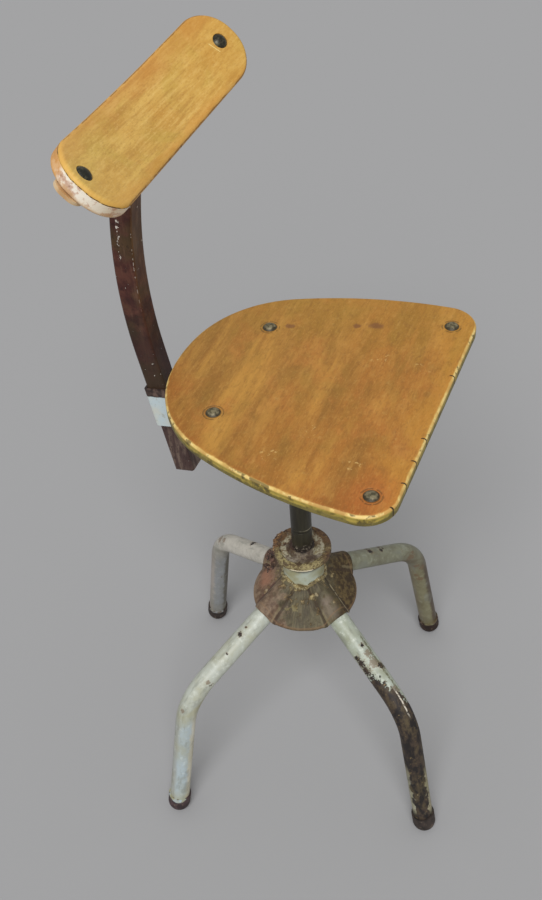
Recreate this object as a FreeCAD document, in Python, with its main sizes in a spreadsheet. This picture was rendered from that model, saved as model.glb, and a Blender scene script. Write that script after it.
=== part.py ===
import FreeCAD
import Part
import Sketcher
import math
import os

from FreeCAD import Placement, Rotation, Vector

# Draughtsman chair: a base of four bent tubes, a pillar that turns and slides in the hub,
# a plywood seat on a four-armed spider and a tilting backrest on a curved post.
# Millimetres. +Z is up, the origin is on the floor under the pillar and the sitter faces -Y.

driving_sizes = (
    ("leg_diameter", 25.4, "leg tube, outside"),
    ("leg_wall", 2.0, "leg tube, wall"),
    ("base_turn", 15.2, "degrees the base is turned from the seat's diagonals"),
    ("leg_entry", 305.7, "height at which the upper leg runs meet the pillar axis"),
    ("leg_slope", 27.9, "degrees the upper leg run falls outwards"),
    ("leg_bend_radius", 80.0, "centreline radius of the leg bend"),
    ("leg_splay", 11.35, "degrees the lower leg run splays outwards"),
    ("foot_radius", 232.9, "distance of each foot from the pillar axis"),
    ("ferrule_diameter", 29.4, "foot ferrule, outside"),
    ("ferrule_height", 28.0, "foot ferrule, length along the leg"),
    ("ferrule_floor", 8.0, "ferrule thickness below the tube end"),
    ("foot_flat", 14.0, "diameter of the flat worn on each foot"),
    ("hub_diameter", 50.8, "hub tube, outside"),
    ("hub_wall", 3.2, "hub tube, wall"),
    ("hub_rise", 32.3, "top of the hub tube above the leg entry"),
    ("hub_length", 94.0, "hub tube, length"),
    ("flange_thickness", 3.0, "flange of each pillar bush"),
    ("upper_bush_length", 40.0, "upper bush inside the hub tube"),
    ("lower_bush_length", 24.0, "lower bush inside the hub tube"),
    ("cover_diameter", 131.0, "pressed hub cover, rim"),
    ("cover_rise", 5.3, "top of the hub cover above the leg entry"),
    ("cover_drop", 41.0, "fall of the hub cover from top to rim"),
    ("cover_lip", 4.0, "turned-down lip at the cover rim"),
    ("cover_sheet", 2.0, "sheet thickness of the hub cover"),
    ("cover_press_radius", 5.0, "outside radius where a channel runs into the cone"),
    ("channel_length", 77.5, "reach of each pressed channel along its leg"),
    ("channel_gap", 0.3, "room between a channel and its leg"),
    ("collar_diameter", 70.8, "height collar, outside"),
    ("collar_thickness", 9.0, "height collar at its rim"),
    ("collar_rim", 6.0, "width of the collar's raised rim"),
    ("collar_dish_depth", 2.5, "depth of the dished collar face"),
    ("collar_chamfer", 1.2, "chamfer on the collar rim"),
    ("boss_diameter", 36.0, "collar boss around the pillar"),
    ("boss_height", 4.0, "collar boss above the rim"),
    ("collar_screw_angle", 23.6, "degrees from +X to the collar screw"),
    ("collar_screw_diameter", 6.0, "collar screw shank"),
    ("collar_screw_head", 9.0, "square head of the collar screw, across flats"),
    ("collar_screw_head_length", 9.0, "square head of the collar screw, length"),
    ("pillar_diameter", 25.4, "seat pillar"),
    ("pillar_chamfer", 1.0, "chamfer on the pillar ends"),
    ("stop_gap", 12.5, "free travel from the stop washer to the lower bush"),
    ("stop_washer_diameter", 36.0, "stop washer under the pillar"),
    ("stop_washer_thickness", 5.0, "stop washer"),
    ("stop_bolt_grip", 22.0, "stop bolt thread in the pillar"),
    ("seat_height", 614.0, "top of the seat board"),
    ("seat_thickness", 14.0, "seat board"),
    ("seat_width", 347.8, "seat board, width at its front corners"),
    ("seat_front", 161.5, "front edge ahead of the pillar axis"),
    ("seat_back", 134.3, "back edge behind the pillar axis"),
    ("seat_corner_radius", 35.0, "radius of the front corners"),
    ("seat_taper", 1.4, "degrees each side draws in behind the front corner"),
    ("seat_side_radius", 485.0, "radius of the bowed sides"),
    ("seat_back_radius", 198.0, "radius of the back edge"),
    ("seat_shoulder_span", 138.3, "each back shoulder and bowed side, across the seat"),
    ("seat_shift", 3.7, "middle of the seat board to the sitter's left of the pillar"),
    ("seat_edge_radius", 4.0, "rounding of the upper seat arris"),
    ("seat_under_radius", 1.5, "rounding of the lower seat arris"),
    ("front_bolt_inset", 33.3, "front seat bolts in from the width at the front corners"),
    ("front_bolt_setback", 26.2, "front seat bolts behind the front edge"),
    ("rear_bolt_x", 77.5, "rear seat bolts, to each side"),
    ("rear_bolt_inset", 76.3, "rear seat bolts ahead of the back edge"),
    ("coach_diameter", 6.4, "coach bolt shank"),
    ("coach_head", 16.0, "coach bolt cup head, diameter"),
    ("coach_head_height", 4.0, "coach bolt cup head, height"),
    ("coach_nut_width", 11.0, "coach bolt nut, across flats"),
    ("coach_nut_height", 5.0, "coach bolt nut, height"),
    ("coach_tail", 1.0, "thread showing past a coach bolt nut"),
    ("spider_thickness", 5.0, "seat spider plate"),
    ("spider_diameter", 90.0, "centre disc of the seat spider"),
    ("spider_arm_width", 30.0, "arms of the seat spider"),
    ("socket_diameter", 38.0, "pillar socket, outside"),
    ("socket_length", 45.0, "pillar socket, length"),
    ("bolt_diameter", 8.0, "hexagon bolts, shank"),
    ("bolt_head_width", 13.0, "hexagon bolts and nuts, across flats"),
    ("bolt_head_height", 5.3, "hexagon bolt heads"),
    ("nut_height", 6.5, "hexagon nuts"),
    ("bolt_tail", 4.0, "thread showing past a hexagon nut"),
    ("rear_arm_width", 30.0, "flat bar from the spider to the post sleeve"),
    ("rear_arm_thickness", 6.0, "flat bar from the spider to the post sleeve"),
    ("rear_arm_run", 40.0, "straight run of the rear arm under the spider"),
    ("rear_arm_bend_radius", 15.0, "centreline radius of the rear arm bends"),
    ("rear_arm_dip", 45.0, "degrees the rear arm dips"),
    ("sleeve_drop", 58.5, "middle of the post sleeve below the seat board"),
    ("sleeve_setback", 159.1, "middle of the post sleeve behind the pillar axis"),
    ("sleeve_length", 53.0, "post sleeve, length along the post"),
    ("sleeve_wall", 2.5, "post sleeve, wall"),
    ("sleeve_gap", 0.4, "room between the sleeve and the post"),
    ("sleeve_corner_radius", 3.5, "outside corner radius of the sleeve"),
    ("wing_span", 36.0, "wings of the clamp screw, tip to tip"),
    ("wing_height", 12.0, "wings of the clamp screw, along the screw"),
    ("wing_thickness", 4.0, "wings of the clamp screw"),
    ("wing_hub", 13.0, "hub of the clamp screw, diameter"),
    ("clamp_reach", 4.0, "bare thread between the clamp nut and the wings"),
    ("post_size", 25.4, "square tube of the back post, outside"),
    ("post_wall", 2.0, "square tube of the back post, wall"),
    ("post_corner_radius", 3.0, "outside corner radius of the back post"),
    ("post_lean", 9.5, "degrees the lower post leans back"),
    ("post_tail", 96.8, "post below the middle of its sleeve"),
    ("post_straight", 168.3, "straight lower length of the post"),
    ("post_bend_radius", 580.0, "centreline radius of the curved post"),
    ("post_turn", 25.5, "degrees through which the post curves forwards"),
    ("pivot_inset", 14.0, "backrest pivot below the top of the post"),
    ("ear_thickness", 4.0, "ears and web of the pivot bracket"),
    ("ear_width", 28.0, "ears of the pivot bracket"),
    ("ear_gap", 0.4, "room between an ear and the post"),
    ("pad_stand", 35.5, "back of the backrest pad ahead of the pivot"),
    ("pad_recline", 48.0, "degrees the backrest pad leans back"),
    ("pad_length", 318.3, "backrest pad, length"),
    ("pad_height", 78.1, "backrest pad, height"),
    ("pad_thickness", 19.5, "backrest pad, thickness"),
    ("pad_corner_radius", 37.0, "corner radius of the backrest pad"),
    ("pad_edge_radius", 4.0, "rounding of the pad's arrises"),
    ("pad_bow_depth", 22.0, "hollow of the pad over its length"),
    ("pad_shift", 3.3, "middle of the pad to the sitter's left of the post"),
    ("pad_roll", 1.2, "degrees the pad sits askew on its bolts"),
    ("pad_drop", 3.6, "middle of the pad below its bolts"),
    ("pad_spot_depth", 0.4, "flat seats of the cup heads let into the pad"),
    ("pad_bolt_rise", 7.57, "pad bolts above the pivot, along the pad"),
    ("pad_bolt_inset", 20.65, "pad bolts in from half the pad length"),
    ("strap_inset", 1.0, "strap ends in from half the pad length"),
    ("strap_width", 30.0, "backrest strap, width"),
    ("strap_thickness", 4.0, "backrest strap, thickness"),
    ("strap_corner_radius", 12.0, "corner radius of the strap ends"),
    ("hole_gap", 0.25, "room around a bolt in its hole, radial"),
    ("press_gap", 0.03, "room between pressed or welded pieces, radial"),
    ("running_gap", 0.06, "running clearance of shafts and screws, radial"),
    ("tip_gap", 0.3, "room between a clamp screw tip and what it grips"),
)

doc = FreeCAD.newDocument("DraughtsmanChair")
sheet = doc.addObject("Spreadsheet::Sheet", "sizes")
for row, (alias, number, meaning) in enumerate(driving_sizes, start=1):
    sheet.set("A%d" % row, meaning)
    sheet.set("B%d" % row, str(number))
    sheet.setAlias("B%d" % row, alias)
doc.recompute()


def value(formula):
    return float(sheet.evalExpression(formula))


# Formulas shared by pieces that seat on, pass through or line up with each other.
leg_radius = "sizes.leg_diameter / 2"
leg_turn = "(90 - sizes.leg_slope - sizes.leg_splay)"
slope_tan = "tan(sizes.leg_slope * 1 deg)"
splay_tan = "tan(sizes.leg_splay * 1 deg)"
bend_tangent = "sizes.leg_bend_radius * tan(%s / 2 * 1 deg)" % leg_turn
corner_radius = "(sizes.foot_radius - %s * sizes.leg_entry) / (1 - %s * %s)" % (splay_tan, slope_tan, splay_tan)
corner_height = "(sizes.leg_entry - %s * %s)" % (slope_tan, corner_radius)
leg_run_in = "%s / cos(sizes.leg_slope * 1 deg) - %s" % (corner_radius, bend_tangent)
leg_run_down = "%s / cos(sizes.leg_splay * 1 deg) - sizes.ferrule_floor - %s" % (corner_height, bend_tangent)
hub_top = "(sizes.leg_entry + sizes.hub_rise)"
hub_bottom = "(%s - sizes.hub_length)" % hub_top
cover_top = "(sizes.leg_entry + sizes.cover_rise)"
bush_radius = "sizes.hub_diameter / 2 - sizes.hub_wall - sizes.press_gap"
pillar_bore = "sizes.pillar_diameter / 2 + sizes.running_gap"
collar_base = "(%s + sizes.flange_thickness)" % hub_top
pillar_bottom = "(%s - sizes.flange_thickness - sizes.stop_gap)" % hub_bottom
seat_underside = "(sizes.seat_height - sizes.seat_thickness)"
spider_underside = "(%s - sizes.spider_thickness)" % seat_underside
pillar_length = "%s - %s" % (spider_underside, pillar_bottom)
sleeve_height = "(%s - sizes.sleeve_drop)" % seat_underside
sleeve_outside = "(sizes.post_size + 2 * sizes.sleeve_gap + 2 * sizes.sleeve_wall)"
sleeve_inside = "(sizes.post_size + 2 * sizes.sleeve_gap)"
arm_drop = "(%s - sizes.rear_arm_thickness / 2 - %s)" % (spider_underside, sleeve_height)
ear_face = "(sizes.post_size / 2 + sizes.ear_gap)"
pad_radius = "((pow(sizes.pad_length / 2; 2) + pow(sizes.pad_bow_depth; 2)) / (2 * sizes.pad_bow_depth))"
pad_back_radius = "(%s + sizes.pad_thickness)" % pad_radius
strap_back_radius = "(%s + sizes.strap_thickness)" % pad_back_radius
pad_bolt_x = "(sizes.pad_length / 2 - sizes.pad_bolt_inset)"
strap_length = "(sizes.pad_length - 2 * sizes.strap_inset)"
hex_radius = "sizes.bolt_head_width / sqrt(3)"
bolt_radius = "sizes.bolt_diameter / 2"
coach_radius = "sizes.coach_diameter / 2"
leg_azimuths = {"rear_left": 0, "rear_right": 1, "front_right": 2, "front_left": 3}


def at(x=0.0, y=0.0, z=0.0, turn=None):
    return Placement(Vector(x, y, z), turn or Rotation())


def about(axis, degrees):
    return Rotation(Vector(*axis), degrees)


def plane(body, role):
    return next(feature for feature in body.Origin.OriginFeatures if feature.Role == role)


def new_body(label, placement=None):
    body = doc.addObject("PartDesign::Body", label)
    body.Label = label
    body.Placement = placement or Placement()
    return body


def new_sketch(body, role, height=None):
    sketch = body.newObject("Sketcher::SketchObject", body.Label + "_sketch")
    sketch.AttachmentSupport = [(plane(body, role), "")]
    sketch.MapMode = "FlatFace"
    if height:
        sketch.setExpression("AttachmentOffset.Base.z", height)
    return sketch


def dimension(sketch, formula, kind, *where):
    start = math.radians(value(formula)) if kind == "Angle" else value(formula)
    index = sketch.addConstraint(Sketcher.Constraint(kind, *where, start))
    unit = " * 1 deg" if kind == "Angle" else ""
    sketch.setExpression("Constraints[%d]" % index, "(%s)%s" % (formula, unit))


def polygon(sketch, corners):
    points = [Vector(value(x), value(y), 0) for x, y in corners]
    for index, point in enumerate(points):
        sketch.addGeometry(Part.LineSegment(point, points[(index + 1) % len(points)]), False)
    for index in range(len(points)):
        follower = (index + 1) % len(points)
        sketch.addConstraint(Sketcher.Constraint("Coincident", index, 2, follower, 1))
    for index, corner in enumerate(corners):
        for kind, formula, axis in (("DistanceX", corner[0], -2), ("DistanceY", corner[1], -1)):
            if formula == "0":
                sketch.addConstraint(Sketcher.Constraint("PointOnObject", index, 1, axis))
            else:
                dimension(sketch, formula, kind, -1, 1, index, 1)


def circle(sketch, radius, x=0.0, y=0.0):
    index = sketch.addGeometry(Part.Circle(Vector(x, y, 0), Vector(0, 0, 1), value(radius)), False)
    if x == 0 and y == 0:
        sketch.addConstraint(Sketcher.Constraint("Coincident", index, 3, -1, 1))
    dimension(sketch, radius, "Radius", index)


def rounded_rectangle(sketch, width, height, corner):
    half_x = value(width) / 2
    half_y = value(height) / 2
    radius = value(corner)
    first = sketch.GeometryCount
    for quarter in range(4):
        turn = about((0, 0, 1), 90 * quarter)
        reach, side = (half_x, half_y) if quarter % 2 else (half_y, half_x)
        start = turn.multVec(Vector(radius - side, -reach, 0))
        end = turn.multVec(Vector(side - radius, -reach, 0))
        centre = turn.multVec(Vector(side - radius, radius - reach, 0))
        sweep = math.radians(90 * quarter - 90)
        sketch.addGeometry(Part.LineSegment(start, end), False)
        arc = Part.Circle(centre, Vector(0, 0, 1), radius)
        sketch.addGeometry(Part.ArcOfCircle(arc, sweep, sweep + math.pi / 2), False)
    for quarter in range(4):
        line = first + 2 * quarter
        follower = first + (2 * quarter + 2) % 8
        sketch.addConstraint(Sketcher.Constraint("Tangent", line, 2, line + 1, 1))
        sketch.addConstraint(Sketcher.Constraint("Tangent", line + 1, 2, follower, 1))
        sketch.addConstraint(Sketcher.Constraint("Vertical" if quarter % 2 else "Horizontal", line))
        if quarter:
            sketch.addConstraint(Sketcher.Constraint("Equal", first + 1, line + 1))
    sketch.addConstraint(Sketcher.Constraint("Symmetric", first + 1, 3, first + 5, 3, -1, 1))
    dimension(sketch, corner, "Radius", first + 1)
    dimension(sketch, width, "DistanceX", first + 6, 1, first + 2, 1)
    dimension(sketch, height, "DistanceY", first, 1, first + 4, 1)


def route(sketch, steps, heading=0.0):
    # Straight runs joined by tangent arcs, from the origin; a turn is positive to the left.
    point = Vector(0, 0, 0)
    joint = None
    for step in steps:
        forward = Vector(math.cos(heading), math.sin(heading), 0)
        if step[0] == "run":
            end = point + forward * value(step[1])
            index = sketch.addGeometry(Part.LineSegment(point, end), False)
            tail, head = 1, 2
            dimension(sketch, step[1], "Distance", index)
        else:
            radius, angle, side = value(step[1]), math.radians(value(step[2])), step[3]
            centre = point + Vector(-forward.y, forward.x, 0) * radius * side
            first = math.atan2(point.y - centre.y, point.x - centre.x)
            last = first + side * angle
            arc = Part.Circle(centre, Vector(0, 0, 1), radius)
            index = sketch.addGeometry(Part.ArcOfCircle(arc, min(first, last), max(first, last)), False)
            tail, head = (1, 2) if side > 0 else (2, 1)
            heading += side * angle
            end = centre + Vector(math.cos(last), math.sin(last), 0) * radius
            dimension(sketch, step[1], "Radius", index)
            dimension(sketch, step[2], "Angle", index)
        if joint is None:
            sketch.addConstraint(Sketcher.Constraint("Coincident", index, tail, -1, 1))
            upright = abs(forward.y) > abs(forward.x)
            sketch.addConstraint(Sketcher.Constraint("Vertical" if upright else "Horizontal", index))
        else:
            sketch.addConstraint(Sketcher.Constraint("Tangent", joint[0], joint[1], index, tail))
        joint = (index, head)
        point = end


def pad(body, sketch, length, both_ways=False):
    feature = body.newObject("PartDesign::Pad", body.Label + "_pad")
    feature.Profile = sketch
    feature.setExpression("Length", length)
    feature.Midplane = both_ways
    return feature


def pocket(body, sketch, both_ways=False):
    feature = body.newObject("PartDesign::Pocket", body.Label + "_pocket")
    feature.Profile = sketch
    feature.Type = "ThroughAll"
    feature.Midplane = both_ways
    return feature


def swept(body, section, path):
    feature = body.newObject("PartDesign::AdditivePipe", body.Label + "_sweep")
    feature.Profile = section
    feature.Spine = (path, ["Edge%d" % (index + 1) for index in range(path.GeometryCount)])
    return feature


def turned(label, corners, placement=None):
    body = new_body(label, placement)
    sketch = new_sketch(body, "XZ_Plane")
    polygon(sketch, corners)
    feature = body.newObject("PartDesign::Revolution", label + "_turned")
    feature.Profile = sketch
    feature.ReferenceAxis = (sketch, ["V_Axis"])
    feature.Angle = 360
    return body


def cylinder(label, radius, height, placement=None):
    solid = doc.addObject("Part::Cylinder", label)
    solid.setExpression("Radius", radius)
    solid.setExpression("Height", height)
    solid.Placement = placement or Placement()
    return solid


def hexagon(label, height, circumradius, placement=None):
    solid = doc.addObject("Part::Prism", label)
    solid.Polygon = 6
    solid.setExpression("Circumradius", circumradius)
    solid.setExpression("Height", height)
    solid.Placement = placement or Placement()
    return solid


def block(label, length, width, height, placement=None):
    solid = doc.addObject("Part::Box", label)
    solid.setExpression("Length", length)
    solid.setExpression("Width", width)
    solid.setExpression("Height", height)
    solid.Placement = placement or Placement()
    return solid


def fused(label, solids):
    result = doc.addObject("Part::MultiFuse", label)
    result.Label = label
    result.Shapes = solids
    return result


def cut(label, base, tool):
    result = doc.addObject("Part::Cut", label)
    result.Label = label
    result.Base = base
    result.Tool = tool
    return result


def common(label, first, second):
    result = doc.addObject("Part::Common", label)
    result.Label = label
    result.Base = first
    result.Tool = second
    return result


def group(label, solids):
    result = doc.addObject("Part::Compound", label)
    result.Label = label
    result.Links = solids
    return result


def rounded(label, solid, radius, chosen):
    doc.recompute()
    result = doc.addObject("Part::Fillet", label)
    result.Label = label
    result.Base = solid
    edges = enumerate(solid.Shape.Edges, start=1)
    result.Edges = [(index, value(radius), value(radius)) for index, edge in edges if chosen(edge)]
    return result


def faces_at(shape, edge):
    return [face.Surface for face in shape.ancestorsOfType(edge, Part.Face)]


def coach_bolt(label, length, placement):
    # A cup head over its seat at z = 0, with the shank below.
    sphere = "((pow(sizes.coach_head / 2; 2) + pow(sizes.coach_head_height; 2)) / (2 * sizes.coach_head_height))"
    head = doc.addObject("Part::Sphere", label + "_head")
    head.setExpression("Radius", sphere)
    head.setExpression("Angle1", "asin((%s - sizes.coach_head_height) / %s)" % (sphere, sphere))
    head.Placement = at(z=value("sizes.coach_head_height - %s" % sphere))
    shank = cylinder(label + "_shank", coach_radius, length, at(z=-value(length)))
    bolt = fused(label, [head, shank])
    bolt.Placement = placement
    return bolt


def hex_bolt(label, length, placement):
    # The head lies under its seat at z = 0, with the shank above.
    head = hexagon(label + "_head", "sizes.bolt_head_height", hex_radius,
                   at(z=-value("sizes.bolt_head_height")))
    shank = cylinder(label + "_shank", bolt_radius, length)
    bolt = fused(label, [head, shank])
    bolt.Placement = placement
    return bolt


def nut(label, width, height, bore, placement):
    blank = hexagon(label + "_blank", height, "%s / sqrt(3)" % width)
    hole = cylinder(label + "_bore", "%s + sizes.press_gap" % bore, height)
    result = cut(label, blank, hole)
    result.Placement = placement
    return result


def tube(label, outer, inner, length, placement=None):
    return turned(label, ((inner, "0"), (outer, "0"), (outer, length), (inner, length)), placement)


nodes = []

# Base: four legs around the hub tube, each with a ferrule on its foot.
hub_envelope_height = "2 * sizes.leg_entry"
leg_axis_turn = about((0, 1, 0), value("sizes.leg_slope"))
foot_axis_turn = about((0, 1, 0), -value("sizes.leg_splay"))
for corner, quarter in leg_azimuths.items():
    azimuth = about((0, 0, 1), value("45 + sizes.base_turn") + 90 * quarter)
    leg = new_body("leg_blank_" + corner, at(0, 0, value("sizes.leg_entry"), azimuth * leg_axis_turn))
    path = new_sketch(leg, "XZ_Plane")
    route(path, (("run", leg_run_in), ("turn", "sizes.leg_bend_radius", leg_turn, -1), ("run", leg_run_down)))
    section = new_sketch(leg, "YZ_Plane")
    circle(section, leg_radius)
    circle(section, "%s - sizes.leg_wall" % leg_radius)
    swept(leg, section, path)
    envelope = cylinder("hub_envelope_" + corner, "sizes.hub_diameter / 2 + sizes.press_gap",
                        hub_envelope_height)
    nodes.append(cut("leg_" + corner, leg, envelope))

    # The ferrule's dome is a ball on the leg axis, cut flat where it stands on the floor.
    ball_height = "sqrt(pow(sizes.ferrule_diameter / 2; 2) - pow(sizes.foot_flat / 2; 2))"
    foot = azimuth.multVec(Vector(value("sizes.foot_radius"), 0, 0))
    up_leg = azimuth * foot_axis_turn
    lift = value("%s / cos(sizes.leg_splay * 1 deg)" % ball_height)
    ball_centre = foot + up_leg.multVec(Vector(0, 0, lift))
    ball = doc.addObject("Part::Sphere", "ferrule_ball_" + corner)
    ball.setExpression("Radius", "sizes.ferrule_diameter / 2")
    ball.Placement = Placement(ball_centre, up_leg)
    barrel_length = "sizes.ferrule_height - %s / cos(sizes.leg_splay * 1 deg)" % ball_height
    barrel = cylinder("ferrule_barrel_" + corner, "sizes.ferrule_diameter / 2", barrel_length,
                      Placement(ball_centre, up_leg))
    floor = block("ferrule_floor_" + corner, "4 * sizes.ferrule_diameter", "4 * sizes.ferrule_diameter",
                  "4 * sizes.ferrule_height")
    reach = value("2 * sizes.ferrule_diameter")
    floor.Placement = at(foot.x - reach, foot.y - reach, 0)
    bore_start = foot + up_leg.multVec(Vector(0, 0, value("sizes.ferrule_floor")))
    bore = cylinder("ferrule_bore_" + corner, "%s + sizes.press_gap" % leg_radius, "sizes.ferrule_height",
                    Placement(bore_start, up_leg))
    standing = common("ferrule_standing_" + corner, fused("ferrule_solid_" + corner, [ball, barrel]), floor)
    nodes.append(cut("ferrule_" + corner, standing, bore))

# Hub tube with its two pillar bushes.
hub_radius = "sizes.hub_diameter / 2"
nodes.append(tube("hub_tube", hub_radius, "%s - sizes.hub_wall" % hub_radius, "sizes.hub_length",
                  at(z=value(hub_bottom))))
for label, length, base, turn in (
        ("upper_bush", "sizes.upper_bush_length", collar_base, about((1, 0, 0), 180)),
        ("lower_bush", "sizes.lower_bush_length", "%s - sizes.flange_thickness" % hub_bottom, Rotation())):
    total = "sizes.flange_thickness + " + length
    outline = ((pillar_bore, "0"), (hub_radius, "0"), (hub_radius, "sizes.flange_thickness"),
               (bush_radius, "sizes.flange_thickness"), (bush_radius, total), (pillar_bore, total))
    nodes.append(turned(label, outline, at(z=value(base), turn=turn)))

# Pressed hub cover: a cone with a turned-down lip and a half-round channel over each leg.
cover_rim = "sizes.cover_diameter / 2"
cover_neck = "%s + sizes.press_gap" % hub_radius
cover_height = "sizes.cover_drop + sizes.cover_lip"
cover_foot = at(z=value("%s - %s" % (cover_top, "(%s)" % cover_height)))


def is_valley(shape, edge):
    # A channel's tilted cylinder runs into the cone here.
    kinds = faces_at(shape, edge)
    cones = [kind for kind in kinds if isinstance(kind, Part.Cone)]
    tilted = [kind for kind in kinds if isinstance(kind, Part.Cylinder) and abs(kind.Axis.z) < 0.99]
    return bool(cones and tilted)


def pressed(label, form, radius):
    return rounded(label, form, radius, lambda edge: is_valley(form.Shape, edge))


def cover_form(label, inset, channel_radius, channel_length):
    outline = (("0", "0"), ("%s - %s" % (cover_rim, inset), "0"),
               ("%s - %s" % (cover_rim, inset), "sizes.cover_lip"),
               ("%s + sizes.cover_sheet - %s" % (cover_neck, inset), cover_height), ("0", cover_height))
    forms = [turned(label + "_cone", outline, cover_foot)]
    for corner, quarter in leg_azimuths.items():
        azimuth = about((0, 0, 1), value("45 + sizes.base_turn") + 90 * quarter)
        along = azimuth * leg_axis_turn * about((0, 1, 0), 90)
        start = at(0, 0, value("sizes.leg_entry"), along)
        forms.append(cylinder(label + "_channel_" + corner, channel_radius, channel_length, start))
    return forms


channel_inside = "%s + sizes.channel_gap" % leg_radius
outer_form = fused("cover_outer_form", cover_form("cover_outside", "0", "%s + sizes.cover_sheet" % channel_inside,
                                                  "sizes.channel_length"))
inner_form = fused("cover_inner_form", cover_form("cover_inside", "sizes.cover_sheet", channel_inside,
                                                  "2 * sizes.channel_length"))
cover_outer = pressed("cover_outer", outer_form, "sizes.cover_press_radius")
cover_inner = pressed("cover_inner", inner_form, "sizes.cover_press_radius + sizes.cover_sheet")
neck_hole = cylinder("cover_neck_hole", cover_neck, hub_envelope_height)
below = block("cover_below", "2 * sizes.cover_diameter", "2 * sizes.cover_diameter", "sizes.leg_entry",
              at(-value("sizes.cover_diameter"), -value("sizes.cover_diameter"),
                 cover_foot.Base.z - value("sizes.leg_entry")))
nodes.append(cut("hub_cover", cover_outer, fused("cover_hollow", [cover_inner, neck_hole, below])))

# Height collar: it rests on the upper bush, turns with the pillar and is clamped to it by its screw.
collar_radius = "sizes.collar_diameter / 2"
collar_floor = "sizes.collar_thickness - sizes.collar_dish_depth"
collar_top = "sizes.collar_thickness + sizes.boss_height"
collar_outline = ((pillar_bore, "0"), ("%s - sizes.collar_chamfer" % collar_radius, "0"),
                  (collar_radius, "sizes.collar_chamfer"),
                  (collar_radius, "sizes.collar_thickness - sizes.collar_chamfer"),
                  ("%s - sizes.collar_chamfer" % collar_radius, "sizes.collar_thickness"),
                  ("%s - sizes.collar_rim" % collar_radius, "sizes.collar_thickness"),
                  ("%s - sizes.collar_rim - sizes.collar_dish_depth" % collar_radius, collar_floor),
                  ("sizes.boss_diameter / 2", collar_floor),
                  ("sizes.boss_diameter / 2 - sizes.boss_height / 2", collar_top), (pillar_bore, collar_top))
collar_blank = turned("height_collar_blank", collar_outline, at(z=value(collar_base)))
screw_height = value("%s + (%s) / 2" % (collar_base, collar_floor))
screw_turn = about((0, 0, 1), value("sizes.collar_screw_angle")) * about((0, 1, 0), 90)
screw_radius = "sizes.collar_screw_diameter / 2"
collar_hole = cylinder("collar_screw_hole", "%s + sizes.running_gap" % screw_radius, "sizes.collar_diameter",
                       at(0, 0, screw_height, screw_turn))
nodes.append(cut("height_collar", collar_blank, collar_hole))
tip = "(sizes.pillar_diameter / 2 + sizes.tip_gap)"
shank_length = "%s - %s + sizes.collar_screw_diameter / 4" % (collar_radius, tip)
collar_shank = cylinder("collar_screw_shank", screw_radius, shank_length, at(z=value(tip)))
head_side = "sizes.collar_screw_head"
head_offset = -value(head_side) / 2
collar_head = block("collar_screw_head", head_side, head_side, "sizes.collar_screw_head_length",
                    at(head_offset, head_offset, value("%s + %s" % (tip, shank_length))))
collar_screw = fused("collar_screw", [collar_shank, collar_head])
collar_screw.Placement = at(0, 0, screw_height, screw_turn)
nodes.append(collar_screw)

# Pillar with its stop washer and bolt below, and its socket and cross bolt under the seat.
pillar_radius = "sizes.pillar_diameter / 2"
pillar_outline = (("0", "0"), ("%s - sizes.pillar_chamfer" % pillar_radius, "0"),
                  (pillar_radius, "sizes.pillar_chamfer"),
                  (pillar_radius, "%s - sizes.pillar_chamfer" % pillar_length),
                  ("%s - sizes.pillar_chamfer" % pillar_radius, pillar_length), ("0", pillar_length))
pillar_blank = turned("pillar_blank", pillar_outline, at(z=value(pillar_bottom)))
across = about((0, 1, 0), 90)
cross_height = value("%s - sizes.socket_length / 2" % spider_underside)
cross_hole = "%s + sizes.hole_gap" % bolt_radius
pillar_cross = cylinder("pillar_cross_hole", cross_hole, "4 * sizes.pillar_diameter",
                        at(-value("2 * sizes.pillar_diameter"), 0, cross_height, across))
stop_hole = cylinder("pillar_stop_hole", "%s + sizes.press_gap" % bolt_radius,
                     "sizes.stop_bolt_grip + sizes.bolt_tail", at(z=value(pillar_bottom)))
nodes.append(cut("pillar", pillar_blank, fused("pillar_holes", [pillar_cross, stop_hole])))
washer_base = "%s - sizes.stop_washer_thickness" % pillar_bottom
nodes.append(tube("stop_washer", "sizes.stop_washer_diameter / 2", cross_hole, "sizes.stop_washer_thickness",
                  at(z=value(washer_base))))
nodes.append(hex_bolt("stop_bolt", "sizes.stop_washer_thickness + sizes.stop_bolt_grip",
                      at(z=value(washer_base))))

socket_radius = "sizes.socket_diameter / 2"
socket_blank = tube("pillar_socket_blank", socket_radius, "%s + sizes.press_gap" % pillar_radius,
                    "sizes.socket_length", at(z=value("%s - sizes.socket_length" % spider_underside)))
socket_cross = cylinder("socket_cross_hole", cross_hole, "4 * sizes.socket_diameter",
                        at(-value("2 * sizes.socket_diameter"), 0, cross_height, across))
nodes.append(cut("pillar_socket", socket_blank, socket_cross))
socket_grip = "sizes.socket_diameter + sizes.nut_height + sizes.bolt_tail"
nodes.append(hex_bolt("socket_bolt", socket_grip, at(-value(socket_radius), 0, cross_height, across)))
nodes.append(nut("socket_nut", "sizes.bolt_head_width", "sizes.nut_height", bolt_radius,
                 at(value(socket_radius), 0, cross_height, across)))

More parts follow.
